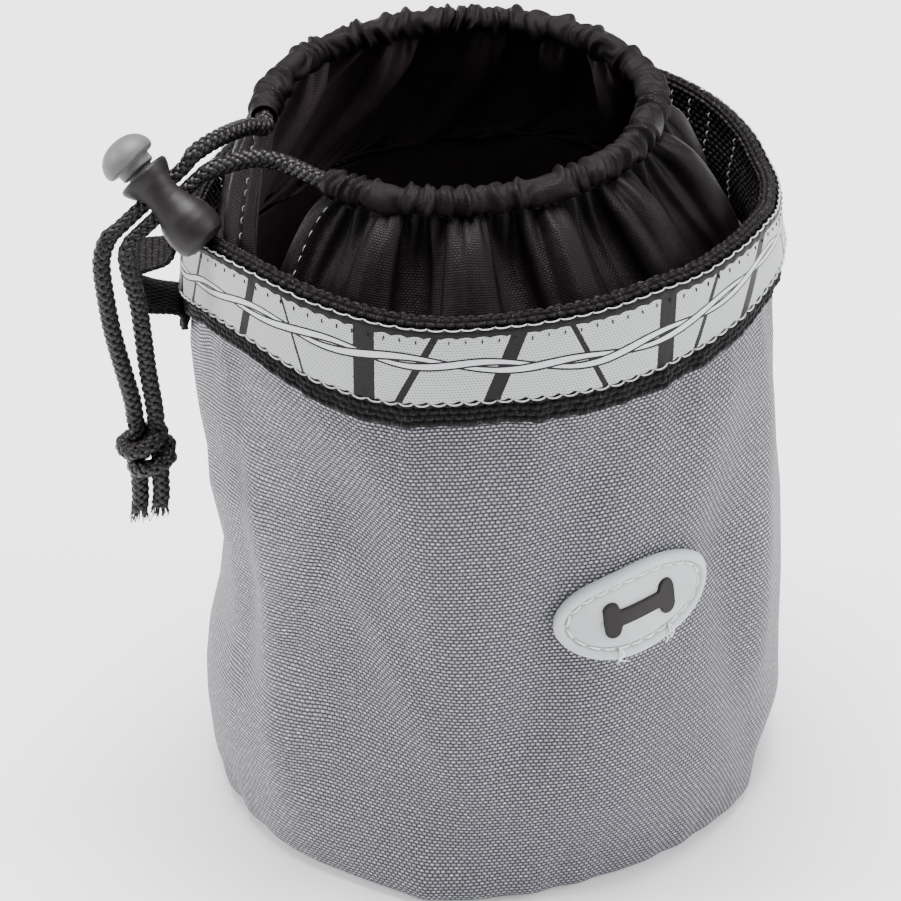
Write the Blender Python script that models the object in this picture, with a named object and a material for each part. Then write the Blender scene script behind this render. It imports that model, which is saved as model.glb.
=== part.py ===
"""A soft cylindrical treat pouch: a woven outer wall with a round base, a webbing band folded over its mouth, a lining that
stands up into a ruched drawstring channel, a cord lock on the two cord tails, a belt loop and an oval rubber badge.
Metres, +Z up. The origin is the centre of the base's underside, and the front is -Y."""

import math

import bmesh
import bpy
from mathutils import Matrix, Vector

for old in list(bpy.data.objects):
    bpy.data.objects.remove(old, do_unlink=True)

MM = 0.001
GAP = 0.3 * MM  # what two touching pieces keep between them

# Outer bag
SHELL_R = 50.3 * MM  # outside of the woven wall
SHELL_T = 1.2 * MM
SHELL_TOP = 115.4 * MM
BASE_R = 48.2 * MM
BASE_T = 1.4 * MM
SEGMENTS = 48

# Webbing folded over the mouth, and the ribbon on it
BAND_T = 1.2 * MM
BAND_R = 51.8 * MM
BAND_LOW = 99.5 * MM
BAND_TOP = 118.3 * MM
RIBBON_R = 52.6 * MM
RIBBON_T = 0.5 * MM
RIBBON_Z = (102.8 * MM, 116.1 * MM)
THREAD_R = 0.2 * MM

# Lining and the collar that stands above the mouth
LINING_R = 46.5 * MM
LINING_T = 0.6 * MM
LINING_TOP = 99.9 * MM
COLLAR_R = 46.2 * MM
SLIT_LOW = math.radians(222)  # where the slit's two hems meet, low down
SLIT_FROM, SLIT_TO = math.radians(229), math.radians(541)  # the channel's two ends
RING_X, RING_Y = -3.3 * MM, 1.0 * MM
RING_RX, RING_RY = 32.8 * MM, 33.0 * MM
RING_Z = 130.2 * MM
CHANNEL_R, CHANNEL_T = 2.7 * MM, 0.6 * MM

# Drawstring
CORD_R = 1.6 * MM
PINCHED_R = 1.3 * MM  # where the lock squeezes it

# Cord lock: its axis runs from the dome down to the barrel's closed end
HOLE = Vector((-52.29, -21.83, 127.90)) * MM  # middle of the cord hole
ALONG = Vector((0.6565, -0.4066, -0.6358)).normalized()  # dome to closed end
CORDWISE = Vector((-0.7548, -0.3537, -0.5531)).normalized()  # towards the tails
HOLE_S = 12.35 * MM  # from the dome's top to the middle of the cord hole
TRAVEL = 2.2 * MM
BORE_R, STEM_R = 2.45 * MM, 2.40 * MM
CORD_STEP = 1.45 * MM  # half the distance between the two pinched cords

# Belt loop
LOOP_ANGLE = math.radians(184)
LOOP_WIDTH = 13 * MM
LOOP_T = 1.3 * MM  # its straight middle stands 60.6 mm from the axis, over the ribbon by about 7 mm

# Badge
BADGE_ANGLE, BADGE_Z = math.radians(297.5), 58.6 * MM
BADGE_A, BADGE_B = 14.9 * MM, 8.3 * MM
BADGE_TILT = math.radians(4)


def material(name, colour, roughness, metallic=0.0):
    m = bpy.data.materials.new(name)
    m.use_nodes = True
    p = m.node_tree.nodes["Principled BSDF"]
    p.inputs["Base Color"].default_value = (*colour, 1)
    p.inputs["Roughness"].default_value = roughness
    p.inputs["Metallic"].default_value = metallic
    return m


WOVEN = ("woven_polyester", (0.34, 0.34, 0.37), 0.85)
WEBBING = ("black_webbing", (0.018, 0.016, 0.017), 0.8)
RIBBON = ("jacquard_ribbon", (0.58, 0.61, 0.59), 0.5)
TAFFETA = ("lining_taffeta", (0.02, 0.017, 0.019), 0.55)
CORD = ("braided_cord", (0.018, 0.015, 0.017), 0.75)
MOULDED = ("lock_plastic", (0.095, 0.09, 0.095), 0.45)
BUTTON = ("button_plastic", (0.2, 0.195, 0.2), 0.45)
SPRING = ("spring_steel", (0.6, 0.6, 0.6), 0.3, 1.0)
RUBBER = ("badge_rubber", (0.55, 0.57, 0.58), 0.55)
INLAY = ("inlay_rubber", (0.06, 0.05, 0.055), 0.6)
THREAD = ("white_thread", (0.8, 0.8, 0.78), 0.7)
DARK_THREAD = ("dark_thread", (0.03, 0.03, 0.03), 0.7)


def put(name, bm, look, angle=40, parent=None):
    """An object from bm, with its faces turned outwards and its smooth edges shaded smooth."""
    bmesh.ops.recalc_face_normals(bm, faces=bm.faces)
    mesh = bpy.data.meshes.new(name)
    bm.to_mesh(mesh)
    bm.free()
    if look[0] not in bpy.data.materials:
        material(*look)
    mesh.materials.append(bpy.data.materials[look[0]])
    mesh.shade_smooth()
    mesh.set_sharp_from_angle(angle=math.radians(angle))
    ob = bpy.data.objects.new(name, mesh)
    bpy.context.scene.collection.objects.link(ob)
    if parent:
        ob.parent = parent
    return ob


def turned(name, profile, look, steps=SEGMENTS, closed=True, **more):
    """A profile of (radius, height) turned about Z. A closed one is a ring, and an open one starts and ends on the axis."""
    bm = bmesh.new()
    vs = [bm.verts.new((r, 0, z)) for r, z in profile]
    pairs = list(zip(vs, vs[1:] + vs[:1] if closed else vs[1:]))
    es = [bm.edges.new(p) for p in pairs]
    bmesh.ops.spin(bm, geom=vs + es, cent=(0, 0, 0), axis=(0, 0, 1), angle=2 * math.pi, steps=steps, use_merge=True)
    bmesh.ops.remove_doubles(bm, verts=bm.verts, dist=1e-6)
    return put(name, bm, look, **more)


def grid(name, point, nu, nv, thick, look, **more):
    """An open sheet of points point(u, v), u and v from 0 to 1, made solid by Solidify."""
    bm = bmesh.new()
    rows = [[bm.verts.new(point(i / nu, j / nv)) for i in range(nu + 1)] for j in range(nv + 1)]
    for a, b in zip(rows, rows[1:]):
        for i in range(nu):
            bm.faces.new((a[i], a[i + 1], b[i + 1], b[i]))
    ob = put(name, bm, look, **more)
    solid = ob.modifiers.new("thickness", "SOLIDIFY")
    solid.thickness = thick
    solid.offset = 0
    solid.use_even_offset = True
    return ob


def smooth_route(points, per=6):
    """Points along a Catmull-Rom curve through the route's own points."""
    p = [Vector(q) for q in points]
    p = [p[0] * 2 - p[1]] + p + [p[-1] * 2 - p[-2]]
    out = []
    for a, b, c, d in zip(p, p[1:], p[2:], p[3:]):
        for k in range(per):
            t = k / per
            out.append(0.5 * ((2 * b) + (c - a) * t + (2 * a - 5 * b + 4 * c - d) * t * t + (3 * b - a - 3 * c + d) * t**3))
    return out + [p[-2]]


def tube(name, points, radii, look):
    """A cord: a curve of straight steps with a round section and filled ends."""
    curve = bpy.data.curves.new(name, "CURVE")
    curve.dimensions = "3D"
    curve.bevel_depth = CORD_R
    curve.bevel_resolution = 2
    curve.use_fill_caps = True
    line = curve.splines.new("POLY")
    line.points.add(len(points) - 1)
    for at, p, r in zip(line.points, points, radii):
        at.co = (*p, 1)
        at.radius = r / CORD_R
    if look[0] not in bpy.data.materials:
        material(*look)
    curve.materials.append(bpy.data.materials[look[0]])
    ob = bpy.data.objects.new(name, curve)
    bpy.context.scene.collection.objects.link(ob)
    return ob


def cutter(name, size, at, parent, round_by=0.0):
    """A box that a Boolean cuts with, its edges along X rounded."""
    bm = bmesh.new()
    bmesh.ops.create_cube(bm, size=1)
    bmesh.ops.scale(bm, vec=size, verts=bm.verts)
    if round_by:
        long = [e for e in bm.edges if abs((e.verts[0].co - e.verts[1].co).normalized().x) > 0.9]
        bmesh.ops.bevel(bm, geom=long, offset=round_by, segments=4, affect="EDGES", profile=0.5)
    bmesh.ops.translate(bm, vec=at, verts=bm.verts)
    ob = put(name, bm, MOULDED, parent=parent)
    ob.display_type = "WIRE"
    ob.hide_render = True
    return ob


def cut(ob, tool):
    m = ob.modifiers.new("cut", "BOOLEAN")
    m.operation = "DIFFERENCE"
    m.solver = "EXACT"
    m.object = tool


# ---- The outer bag: base disc, woven wall and the tape that binds their seam inside

turned("base_panel", [(0, 0), (BASE_R - 1.2 * MM, 0), (BASE_R - 0.3 * MM, 0.35 * MM), (BASE_R, 1.0 * MM), (BASE_R - 0.5 * MM, BASE_T), (0, BASE_T)], WOVEN, closed=False)

wall_low = BASE_T + GAP
turned(
    "shell_wall",
    [
        (SHELL_R - 0.9 * MM, wall_low),
        (SHELL_R - 0.3 * MM, wall_low + 1.5 * MM),
        (SHELL_R, wall_low + 4.8 * MM),
        (SHELL_R, 60 * MM),
        (SHELL_R, SHELL_TOP),
        (SHELL_R - SHELL_T, SHELL_TOP),
        (SHELL_R - SHELL_T, 60 * MM),
        (SHELL_R - SHELL_T, wall_low + 4.8 * MM),
        (SHELL_R - SHELL_T - 0.3 * MM, wall_low + 1.5 * MM),
        (SHELL_R - SHELL_T - 0.9 * MM, wall_low),
    ],
    WOVEN,
)
tape_r = LINING_R + 0.5 * MM
turned("base_seam_tape", [(tape_r, 2.1 * MM), (tape_r + 1.0 * MM, 2.1 * MM), (tape_r + 1.0 * MM, 8.2 * MM), (tape_r, 8.2 * MM)], WEBBING)

# ---- The mouth: webbing folded over the wall's edge, the ribbon sewn on it, and the ribbon's two seams

fold_r = BAND_R - 2.3 * MM  # middle of the fold
outer = [(fold_r + 2.3 * MM * math.sin(a), BAND_TOP - 2.3 * MM + 2.3 * MM * math.cos(a)) for a in (math.pi / 2 - k * math.pi / 4 for k in range(5))]
inner = [(fold_r + 1.1 * MM * math.sin(a), BAND_TOP - 2.3 * MM + 1.1 * MM * math.cos(a)) for a in (-math.pi / 2 + k * math.pi / 4 for k in range(5))]
turned(
    "mouth_band",
    [(BAND_R, BAND_LOW), *outer, (fold_r - 2.3 * MM, BAND_LOW + 1 * MM), (fold_r - 1.1 * MM, BAND_LOW + 1 * MM), *inner, (BAND_R - BAND_T, BAND_LOW)],
    WEBBING,
)
turned(
    "trim_ribbon",
    [(RIBBON_R, RIBBON_Z[0]), (RIBBON_R, RIBBON_Z[1]), (RIBBON_R - RIBBON_T, RIBBON_Z[1]), (RIBBON_R - RIBBON_T, RIBBON_Z[0])],
    RIBBON,
)
for name, z in (("ribbon_seam_lower", RIBBON_Z[0] + 0.9 * MM), ("ribbon_seam_upper", RIBBON_Z[1] - 0.9 * MM)):
    r = RIBBON_R + GAP + THREAD_R
    turned(name, [(r + THREAD_R * math.cos(a), z + THREAD_R * math.sin(a)) for a in (k * math.pi / 2 for k in range(4))], THREAD)

# ---- The lining: its wall, its base, the collar above it and the channel round the collar's top

turned(
    "lining_wall",
    [(LINING_R, 2.4 * MM), (LINING_R, 50 * MM), (LINING_R, LINING_TOP), (LINING_R - LINING_T, LINING_TOP), (LINING_R - LINING_T, 50 * MM), (LINING_R - LINING_T, 2.4 * MM)],
    TAFFETA,
)
floor_r = LINING_R - LINING_T - GAP
turned("lining_base", [(0, 2.2 * MM), (floor_r, 2.2 * MM), (floor_r, 2.8 * MM), (0, 2.8 * MM)], TAFFETA, closed=False)


def ring(a, inwards=0.0, up=0.0):
    """A point on the channel's middle line at angle a."""
    return Vector((RING_X + (RING_RX - inwards) * math.cos(a), RING_Y + (RING_RY - inwards) * math.sin(a), RING_Z - 0.6 * MM * math.sin(a) + up))


def collar(u, v):
    """The collar, from the lining's top (v = 0) up to the channel (v = 1), from the slit's one hem to its other."""
    open_by = max(0.0, (v - 0.28) / 0.72) ** 0.85
    low = SLIT_LOW + math.radians(0.5)
    a0 = low + (SLIT_FROM - low) * open_by
    a1 = SLIT_LOW + 2 * math.pi - math.radians(0.5)
    a1 += (SLIT_TO - a1) * open_by
    a = a0 + (a1 - a0) * u
    foot = Vector((COLLAR_R * math.cos(a), COLLAR_R * math.sin(a), LINING_TOP + GAP + 0.1 * MM))
    head = ring(a, 0, -CHANNEL_R - GAP - 0.45 * MM)
    inward = v**2.4  # it stands up first and then leans in to the channel
    return Vector((foot.x + (head.x - foot.x) * inward, foot.y + (head.y - foot.y) * inward, foot.z + (head.z - foot.z) * v))


grid("liner_collar", collar, 48, 6, LINING_T, TAFFETA)


def channel(u, v):
    """The channel: a tube round the middle line."""
    a = SLIT_FROM + (SLIT_TO - SLIT_FROM) * u
    b = 2 * math.pi * v
    out = Vector((math.cos(a), math.sin(a), 0))
    r = CHANNEL_R - CHANNEL_T / 2
    return ring(a) + out * (r * math.cos(b)) + Vector((0, 0, r * math.sin(b)))


bm = bmesh.new()
NA, NB = 44, 8
loops = [[bm.verts.new(channel(i / NA, j / NB)) for j in range(NB)] for i in range(NA + 1)]
for a, b in zip(loops, loops[1:]):
    for j in range(NB):
        bm.faces.new((a[j], b[j], b[(j + 1) % NB], a[(j + 1) % NB]))
tunnel = put("drawstring_channel", bm, TAFFETA)
wall = tunnel.modifiers.new("thickness", "SOLIDIFY")
wall.thickness = CHANNEL_T
wall.offset = 0

# ---- The drawstring: one run inside the channel, two tails through the lock, the knot and the two ends below it

inside = [ring(SLIT_FROM + (SLIT_TO - SLIT_FROM) * k / 48) for k in range(49)]
tube("drawstring_run", inside, [CORD_R] * len(inside), CORD)

COLD = -6.2 * MM  # the pinched stretch is straight from here, before the lock
WARM = 9.2 * MM  # to here, past it, which is what the lock slides on


def tail(name, start, leave, lead, side, drop):
    """One tail. start is the channel's end, leave the way out of it, lead the points to the lock, side which of the two places in the hole, and drop the points down to the knot."""
    base = HOLE + ALONG * side
    first = start + leave * (GAP / leave.length)
    apart = ALONG * math.copysign(0.5 * MM, side)  # the two swell to their full thickness outside the lock
    before = smooth_route([first, first + leave.normalized() * 3.2 * MM, *lead, base + apart + CORDWISE * (COLD - 2.6 * MM), base + CORDWISE * COLD], 4)
    middle = [base + CORDWISE * (COLD + (WARM - COLD) * k / 6) for k in range(1, 6)]
    after = smooth_route([base + CORDWISE * WARM, *drop], 4)
    points = before + middle + after
    n = len(before)
    radii = [CORD_R] * (n - 4) + [CORD_R - (CORD_R - PINCHED_R) * k / 3 for k in range(1, 4)] + [PINCHED_R]
    radii += [PINCHED_R] * 6 + [PINCHED_R + (CORD_R - PINCHED_R) * min(1, k / 4) for k in range(1, len(after))]
    return tube(name, points, radii, CORD)


KNOT = Vector((-58.0, -26.0, 81.7)) * MM
KNOT_H = 10.6 * MM
top = KNOT.z + KNOT_H / 2 + GAP
end_a, end_b = ring(SLIT_TO), ring(SLIT_FROM)
tail(
    "drawstring_tail_a",
    end_a,
    Vector((0.05, -1, 0)),
    [Vector((-38.6, -7.2, 132.6)) * MM, Vector((-42.6, -13.4, 134.4)) * MM],
    -CORD_STEP,
    [Vector((-61.95, -25.2, 122.3)) * MM, Vector((-63.2, -26.0, 118.6)) * MM, Vector((-63.0, -26.5, 112.5)) * MM, Vector((-62.3, -26.6, 105.3)) * MM, Vector((-61.0, -26.3, 97.4)) * MM, Vector((-60.0, -26.0, 91.5)) * MM, Vector((-59.75 * MM, -26.0 * MM, top))],
)
tail(
    "drawstring_tail_b",
    end_b,
    Vector((-0.755, 0.656, 0)),
    [Vector((-32.4, -17.2, 130.9)) * MM, Vector((-37.6, -16.9, 131.9)) * MM],
    CORD_STEP,
    [Vector((-58.95, -26.5, 119.9)) * MM, Vector((-58.6, -26.8, 116.2)) * MM, Vector((-57.7, -26.5, 111.0)) * MM, Vector((-57.3, -26.3, 104.5)) * MM, Vector((-57.0, -26.1, 97.4)) * MM, Vector((-56.5, -26.0, 91.5)) * MM, Vector((-56.25 * MM, -26.0 * MM, top))],
)
knot = turned(
    "drawstring_knot",
    [(0, KNOT_H / 2), (3.9 * MM, KNOT_H / 2), (4.7 * MM, KNOT_H * 0.36), (4.9 * MM, 0), (4.7 * MM, -KNOT_H * 0.36), (3.9 * MM, -KNOT_H / 2), (0, -KNOT_H / 2)],
    CORD,
    steps=20,
    closed=False,
)
knot.location = KNOT
for name, dx, dy, length in (("cord_end_a", -1.85, 0.2, 8.2), ("cord_end_b", 1.75, -0.2, 7.0)):
    at = KNOT + Vector((dx * MM, dy * MM, -KNOT_H / 2 - GAP))
    tube(name, smooth_route([at, at + Vector((0, 0, -length / 2 * MM)), at + Vector((-0.3 * MM, 0, -length * MM))], 3), [CORD_R] * 7, CORD)

# ---- The cord lock. Its own Z runs from the barrel's closed end up to the dome, and its X along the cords, with the cord hole's middle at its origin

frame = bpy.data.objects.new("lock_frame", None)
bpy.context.scene.collection.objects.link(frame)
z_axis = -ALONG
x_axis = (CORDWISE - z_axis * CORDWISE.dot(z_axis)).normalized()
y_axis = z_axis.cross(x_axis)
frame.matrix_world = Matrix.Translation(HOLE) @ Matrix((x_axis, y_axis, z_axis)).transposed().to_4x4()


def down(profile):
    """Radii in mm and distances from the dome's top in mm, as radii and heights in the lock's frame."""
    return [(r * MM, HOLE_S - s * MM) for r, s in profile]


barrel = turned(
    "lock_barrel",
    down([(0, 22.6), (2.6, 22.6), (4.0, 22.1), (4.55, 20.9), (4.7, 19.0), (4.45, 17.0), (3.9, 15.2), (3.5, 13.2), (3.4, 11.2), (3.8, 9.6), (4.5, 8.3), (4.75, 7.6), (4.65, 7.15), (4.4, 6.95), (3.75, 6.95), (3.5, 7.2), (3.5, 8.6), (2.45, 8.75), (2.45, 14.0), (2.45, 21.3), (0, 21.3)]),
    MOULDED,
    steps=32,
    closed=False,
    parent=frame,
)
plunger = turned(
    "lock_button",
    down([(0, 0), (1.5, 0.12), (2.9, 0.62), (4.0, 1.5), (4.65, 2.6), (4.85, 3.55), (4.7, 4.2), (4.3, 4.6), (3.2, 4.6), (3.2, 6.0), (2.95, 6.3), (2.4, 6.35), (2.4, 10.0), (2.4, 16.5), (0, 16.5)]),
    BUTTON,
    steps=32,
    closed=False,
    parent=frame,
)
squeeze = CORD_STEP + PINCHED_R + GAP  # half the height of both cords with their gaps
hole = cutter("hole_cutter", (14 * MM, 3.4 * MM, 2 * squeeze + 0.7 * MM), (0, 0, -0.35 * MM), frame, 1.0 * MM)
window = cutter("window_cutter", (8 * MM, 3.2 * MM, 2 * squeeze + TRAVEL + 0.1 * MM), (0, 0, (TRAVEL + 0.1 * MM) / 2), frame)
cut(barrel, hole)
cut(plunger, window)

# The spring stands between the stem's foot and the bore's floor
SPRING_LOW, SPRING_HIGH = HOLE_S - 21.0 * MM, HOLE_S - 16.8 * MM
TURNS, WIRE_R, COIL_R = 3.25, 0.25 * MM, 1.75 * MM
steps = int(TURNS * 12)
bm = bmesh.new()
hoops = []
for k in range(steps + 1):
    a = 2 * math.pi * k / 12
    lift = SPRING_LOW + WIRE_R + (SPRING_HIGH - SPRING_LOW - 2 * WIRE_R) * k / steps
    out = Vector((math.cos(a), math.sin(a), 0))
    hoops.append([bm.verts.new(out * (COIL_R + WIRE_R * math.cos(b)) + Vector((0, 0, lift + WIRE_R * math.sin(b)))) for b in (math.pi / 3 * j for j in range(6))])
for a, b in zip(hoops, hoops[1:]):
    for j in range(6):
        bm.faces.new((a[j], b[j], b[(j + 1) % 6], a[(j + 1) % 6]))
bm.faces.new(hoops[0])
bm.faces.new(hoops[-1])
put("lock_spring", bm, SPRING, parent=frame)

# ---- The belt loop: one strip of webbing, sewn down on the band and again on the wall below it, standing off between them

upper = smooth_route([Vector((x * MM, 0, z * MM)) for x, z in ((53.6, 114.0), (53.65, 111.2), (54.8, 109.3), (57.3, 108.2), (59.7, 107.0), (60.6, 104.9))], 2)
lower = smooth_route([Vector((x * MM, 0, z * MM)) for x, z in ((60.6, 102.3), (59.7, 100.3), (57.3, 99.2), (54.6, 98.4), (52.3, 96.6), (51.5, 94.2), (51.5, 90.2))], 2)
loop_line = upper + lower  # a belt or clip bears on the straight stretch between the two
turn = Matrix.Rotation(LOOP_ANGLE, 4, "Z")


def strap(u, v):
    p = loop_line[round(v * (len(loop_line) - 1))]
    return turn @ Vector((p.x, (u - 0.5) * LOOP_WIDTH, p.z))


grid("belt_loop", strap, 1, len(loop_line) - 1, LOOP_T, WEBBING)

for name, x, z in (("loop_bartack_upper", 53.6, 112.7), ("loop_bartack_lower", 51.5, 92.0)):
    bm = bmesh.new()
    bmesh.ops.create_cube(bm, size=1)
    bmesh.ops.scale(bm, vec=(0.5 * MM, 10 * MM, 1.8 * MM), verts=bm.verts)
    bmesh.ops.bevel(bm, geom=list(bm.edges), offset=0.15 * MM, segments=1, affect="EDGES")
    bmesh.ops.translate(bm, vec=(x * MM + LOOP_T / 2 + GAP + 0.28 * MM, 0, z * MM), verts=bm.verts)
    bmesh.ops.transform(bm, matrix=turn, verts=bm.verts)
    put(name, bm, DARK_THREAD)

# ---- The badge: an oval rubber plate bent to the wall, a dark bone shape lying on it, and the ring of thread that holds it


def on_wall(x, y, height):
    """A point of the badge's flat drawing, bent round the wall and raised by height."""
    c, s = math.cos(BADGE_TILT), math.sin(BADGE_TILT)
    x, y = x * c - y * s, x * s + y * c
    a = BADGE_ANGLE + x / SHELL_R
    r = SHELL_R + height
    return Vector((r * math.cos(a), r * math.sin(a), BADGE_Z + y))


def oval(a, shrink):
    return (BADGE_A - shrink) * math.cos(a), (BADGE_B - shrink) * math.sin(a)


def badge_plate():
    """Rings of points over the top, from the middle out, then down the side and back under."""
    bm = bmesh.new()
    n = 40
    over = [(6.0, 1.5), (3.4, 1.5), (3.0, 1.25), (1.9, 1.25), (1.5, 1.9), (0.5, 1.95), (0.0, 1.5), (0.0, 0.4), (3.2, 0.4), (6.0, 0.4)]
    rings = [[bm.verts.new(on_wall(*oval(2 * math.pi * k / n, shrink * MM), (h + 0.0) * MM)) for k in range(n)] for shrink, h in over]
    for a, b in zip(rings, rings[1:]):
        for k in range(n):
            bm.faces.new((a[k], a[(k + 1) % n], b[(k + 1) % n], b[k]))
    for edge, h in ((rings[0], 1.5), (rings[-1], 0.4)):
        hub = bm.verts.new(on_wall(0, 0, h * MM))
        for k in range(n):
            bm.faces.new((edge[k], edge[(k + 1) % n], hub))
    return bm


put("badge_plate", badge_plate(), RUBBER)


def bone():
    """The bone as columns of points along its length, so that it bends with the wall."""
    bm = bmesh.new()
    length, waist, knob, spread = 13.4, 1.4, 1.5, 2.0
    half = length / 2
    tops, lows = [], []
    n = 28
    for k in range(n + 1):
        x = -half + length * k / n
        from_end = half - abs(x)
        inside = max(0.0, knob**2 - (knob - from_end) ** 2) ** 0.5 if from_end < 2 * knob else 0.0
        y = max(waist if from_end > knob * 0.9 else 0.0, spread + inside if from_end < 2 * knob and inside > 0 else 0.0, 0.35)
        column = [(x, y), (x, y / 3), (x, -y / 3), (x, -y)]
        tops.append([bm.verts.new(on_wall(a * MM, b * MM, 2.45 * MM)) for a, b in column])
        lows.append([bm.verts.new(on_wall(a * MM, b * MM, 1.85 * MM)) for a, b in column])
    for rows in (tops, lows):
        for a, b in zip(rows, rows[1:]):
            for j in range(3):
                bm.faces.new((a[j], a[j + 1], b[j + 1], b[j]))
    for side in (0, 3):
        for k in range(n):
            bm.faces.new((tops[k][side], tops[k + 1][side], lows[k + 1][side], lows[k][side]))
    for k in (0, n):
        for j in range(3):
            bm.faces.new((tops[k][j], tops[k][j + 1], lows[k][j + 1], lows[k][j]))
    return bm


put("badge_bone", bone(), INLAY)

bm = bmesh.new()
n = 48
hoops = []
for k in range(n):
    a = 2 * math.pi * k / n
    hoops.append([])
    for b in (math.pi / 2 * j for j in range(4)):
        x, y = oval(a, (2.45 + 0.2 * math.cos(b)) * MM)
        hoops[-1].append(bm.verts.new(on_wall(x, y, (1.8 + 0.2 * math.sin(b)) * MM)))
for k in range(n):
    a, b = hoops[k], hoops[(k + 1) % n]
    for j in range(4):
        bm.faces.new((a[j], b[j], b[(j + 1) % 4], a[(j + 1) % 4]))
put("badge_seam", bm, THREAD)
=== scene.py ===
"""The looks of the treat pouch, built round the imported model. Metres, +Z up, front -Y."""

import math

import bmesh
import bpy
import numpy as np
from mathutils import Matrix, Vector


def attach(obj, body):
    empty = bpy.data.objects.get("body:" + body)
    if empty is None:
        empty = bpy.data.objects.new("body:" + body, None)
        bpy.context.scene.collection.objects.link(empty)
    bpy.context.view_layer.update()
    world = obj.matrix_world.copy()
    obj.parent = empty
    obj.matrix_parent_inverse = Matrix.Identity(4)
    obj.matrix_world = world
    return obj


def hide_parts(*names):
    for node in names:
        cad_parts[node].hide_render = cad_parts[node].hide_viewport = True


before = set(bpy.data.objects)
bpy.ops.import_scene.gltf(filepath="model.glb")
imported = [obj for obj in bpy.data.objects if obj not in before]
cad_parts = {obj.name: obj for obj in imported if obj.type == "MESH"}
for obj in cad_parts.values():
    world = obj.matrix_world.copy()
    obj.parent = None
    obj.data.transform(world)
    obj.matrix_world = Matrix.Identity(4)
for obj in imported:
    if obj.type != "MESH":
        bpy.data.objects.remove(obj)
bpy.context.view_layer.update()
MM = 0.001
TAU = 2 * math.pi


# ------------------------------------------------------------------ camera, floor and light


def make_camera():
    """Looks at the pouch's middle from 0.9 m, 32.6 degrees up, turned 2.2 degrees about its own axis."""
    up_by, roll, away, focal = math.radians(32.6), math.radians(-2.2), 0.9, 5112.0
    target = Vector((0, 0, 0.058))
    at = target + Vector((0, -math.cos(up_by), math.sin(up_by))) * away
    ahead = (target - at).normalized()
    right = ahead.cross(Vector((0, 0, 1))).normalized()
    up = right.cross(ahead)
    x = right * math.cos(roll) + up * math.sin(roll)
    y = -right * math.sin(roll) + up * math.cos(roll)
    data = bpy.data.cameras.new("camera")
    data.sensor_width = 36
    data.lens = focal / 901 * 36
    data.shift_x = -41.4 / 901
    data.shift_y = 20.3 / 901
    data.clip_start, data.clip_end = 0.05, 20
    cam = bpy.data.objects.new("camera", data)
    cam.matrix_world = Matrix.Translation(at) @ Matrix((x, y, -ahead)).transposed().to_4x4()
    bpy.context.scene.collection.objects.link(cam)
    bpy.context.scene.camera = cam


make_camera()


def lamp(name, at, to, size, power, colour=(1, 1, 1)):
    data = bpy.data.lights.new(name, "AREA")
    data.shape = "DISK"
    data.size = size
    data.energy = power
    data.color = colour
    o = bpy.data.objects.new(name, data)
    o.location = at
    o.rotation_euler = (Vector(to) - Vector(at)).to_track_quat("-Z", "Y").to_euler()
    bpy.context.scene.collection.objects.link(o)


lamp("key", (-1.15, -0.02, 0.60), (0, 0, 0.06), 0.35, 10.5, (1.0, 0.99, 0.975))
lamp("fill", (1.1, -0.3, 0.62), (0, 0, 0.06), 0.6, 12.0, (0.97, 0.985, 1.0))
lamp("top", (0.0, 0.15, 1.3), (0, 0, 0.08), 0.9, 48.0)
world = bpy.data.worlds.new("studio")
world.use_nodes = True
world.node_tree.nodes["Background"].inputs["Color"].default_value = (1, 1, 1, 1)
world.node_tree.nodes["Background"].inputs["Strength"].default_value = 0.4
bpy.context.scene.world = world


# ------------------------------------------------------------------ materials


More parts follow.
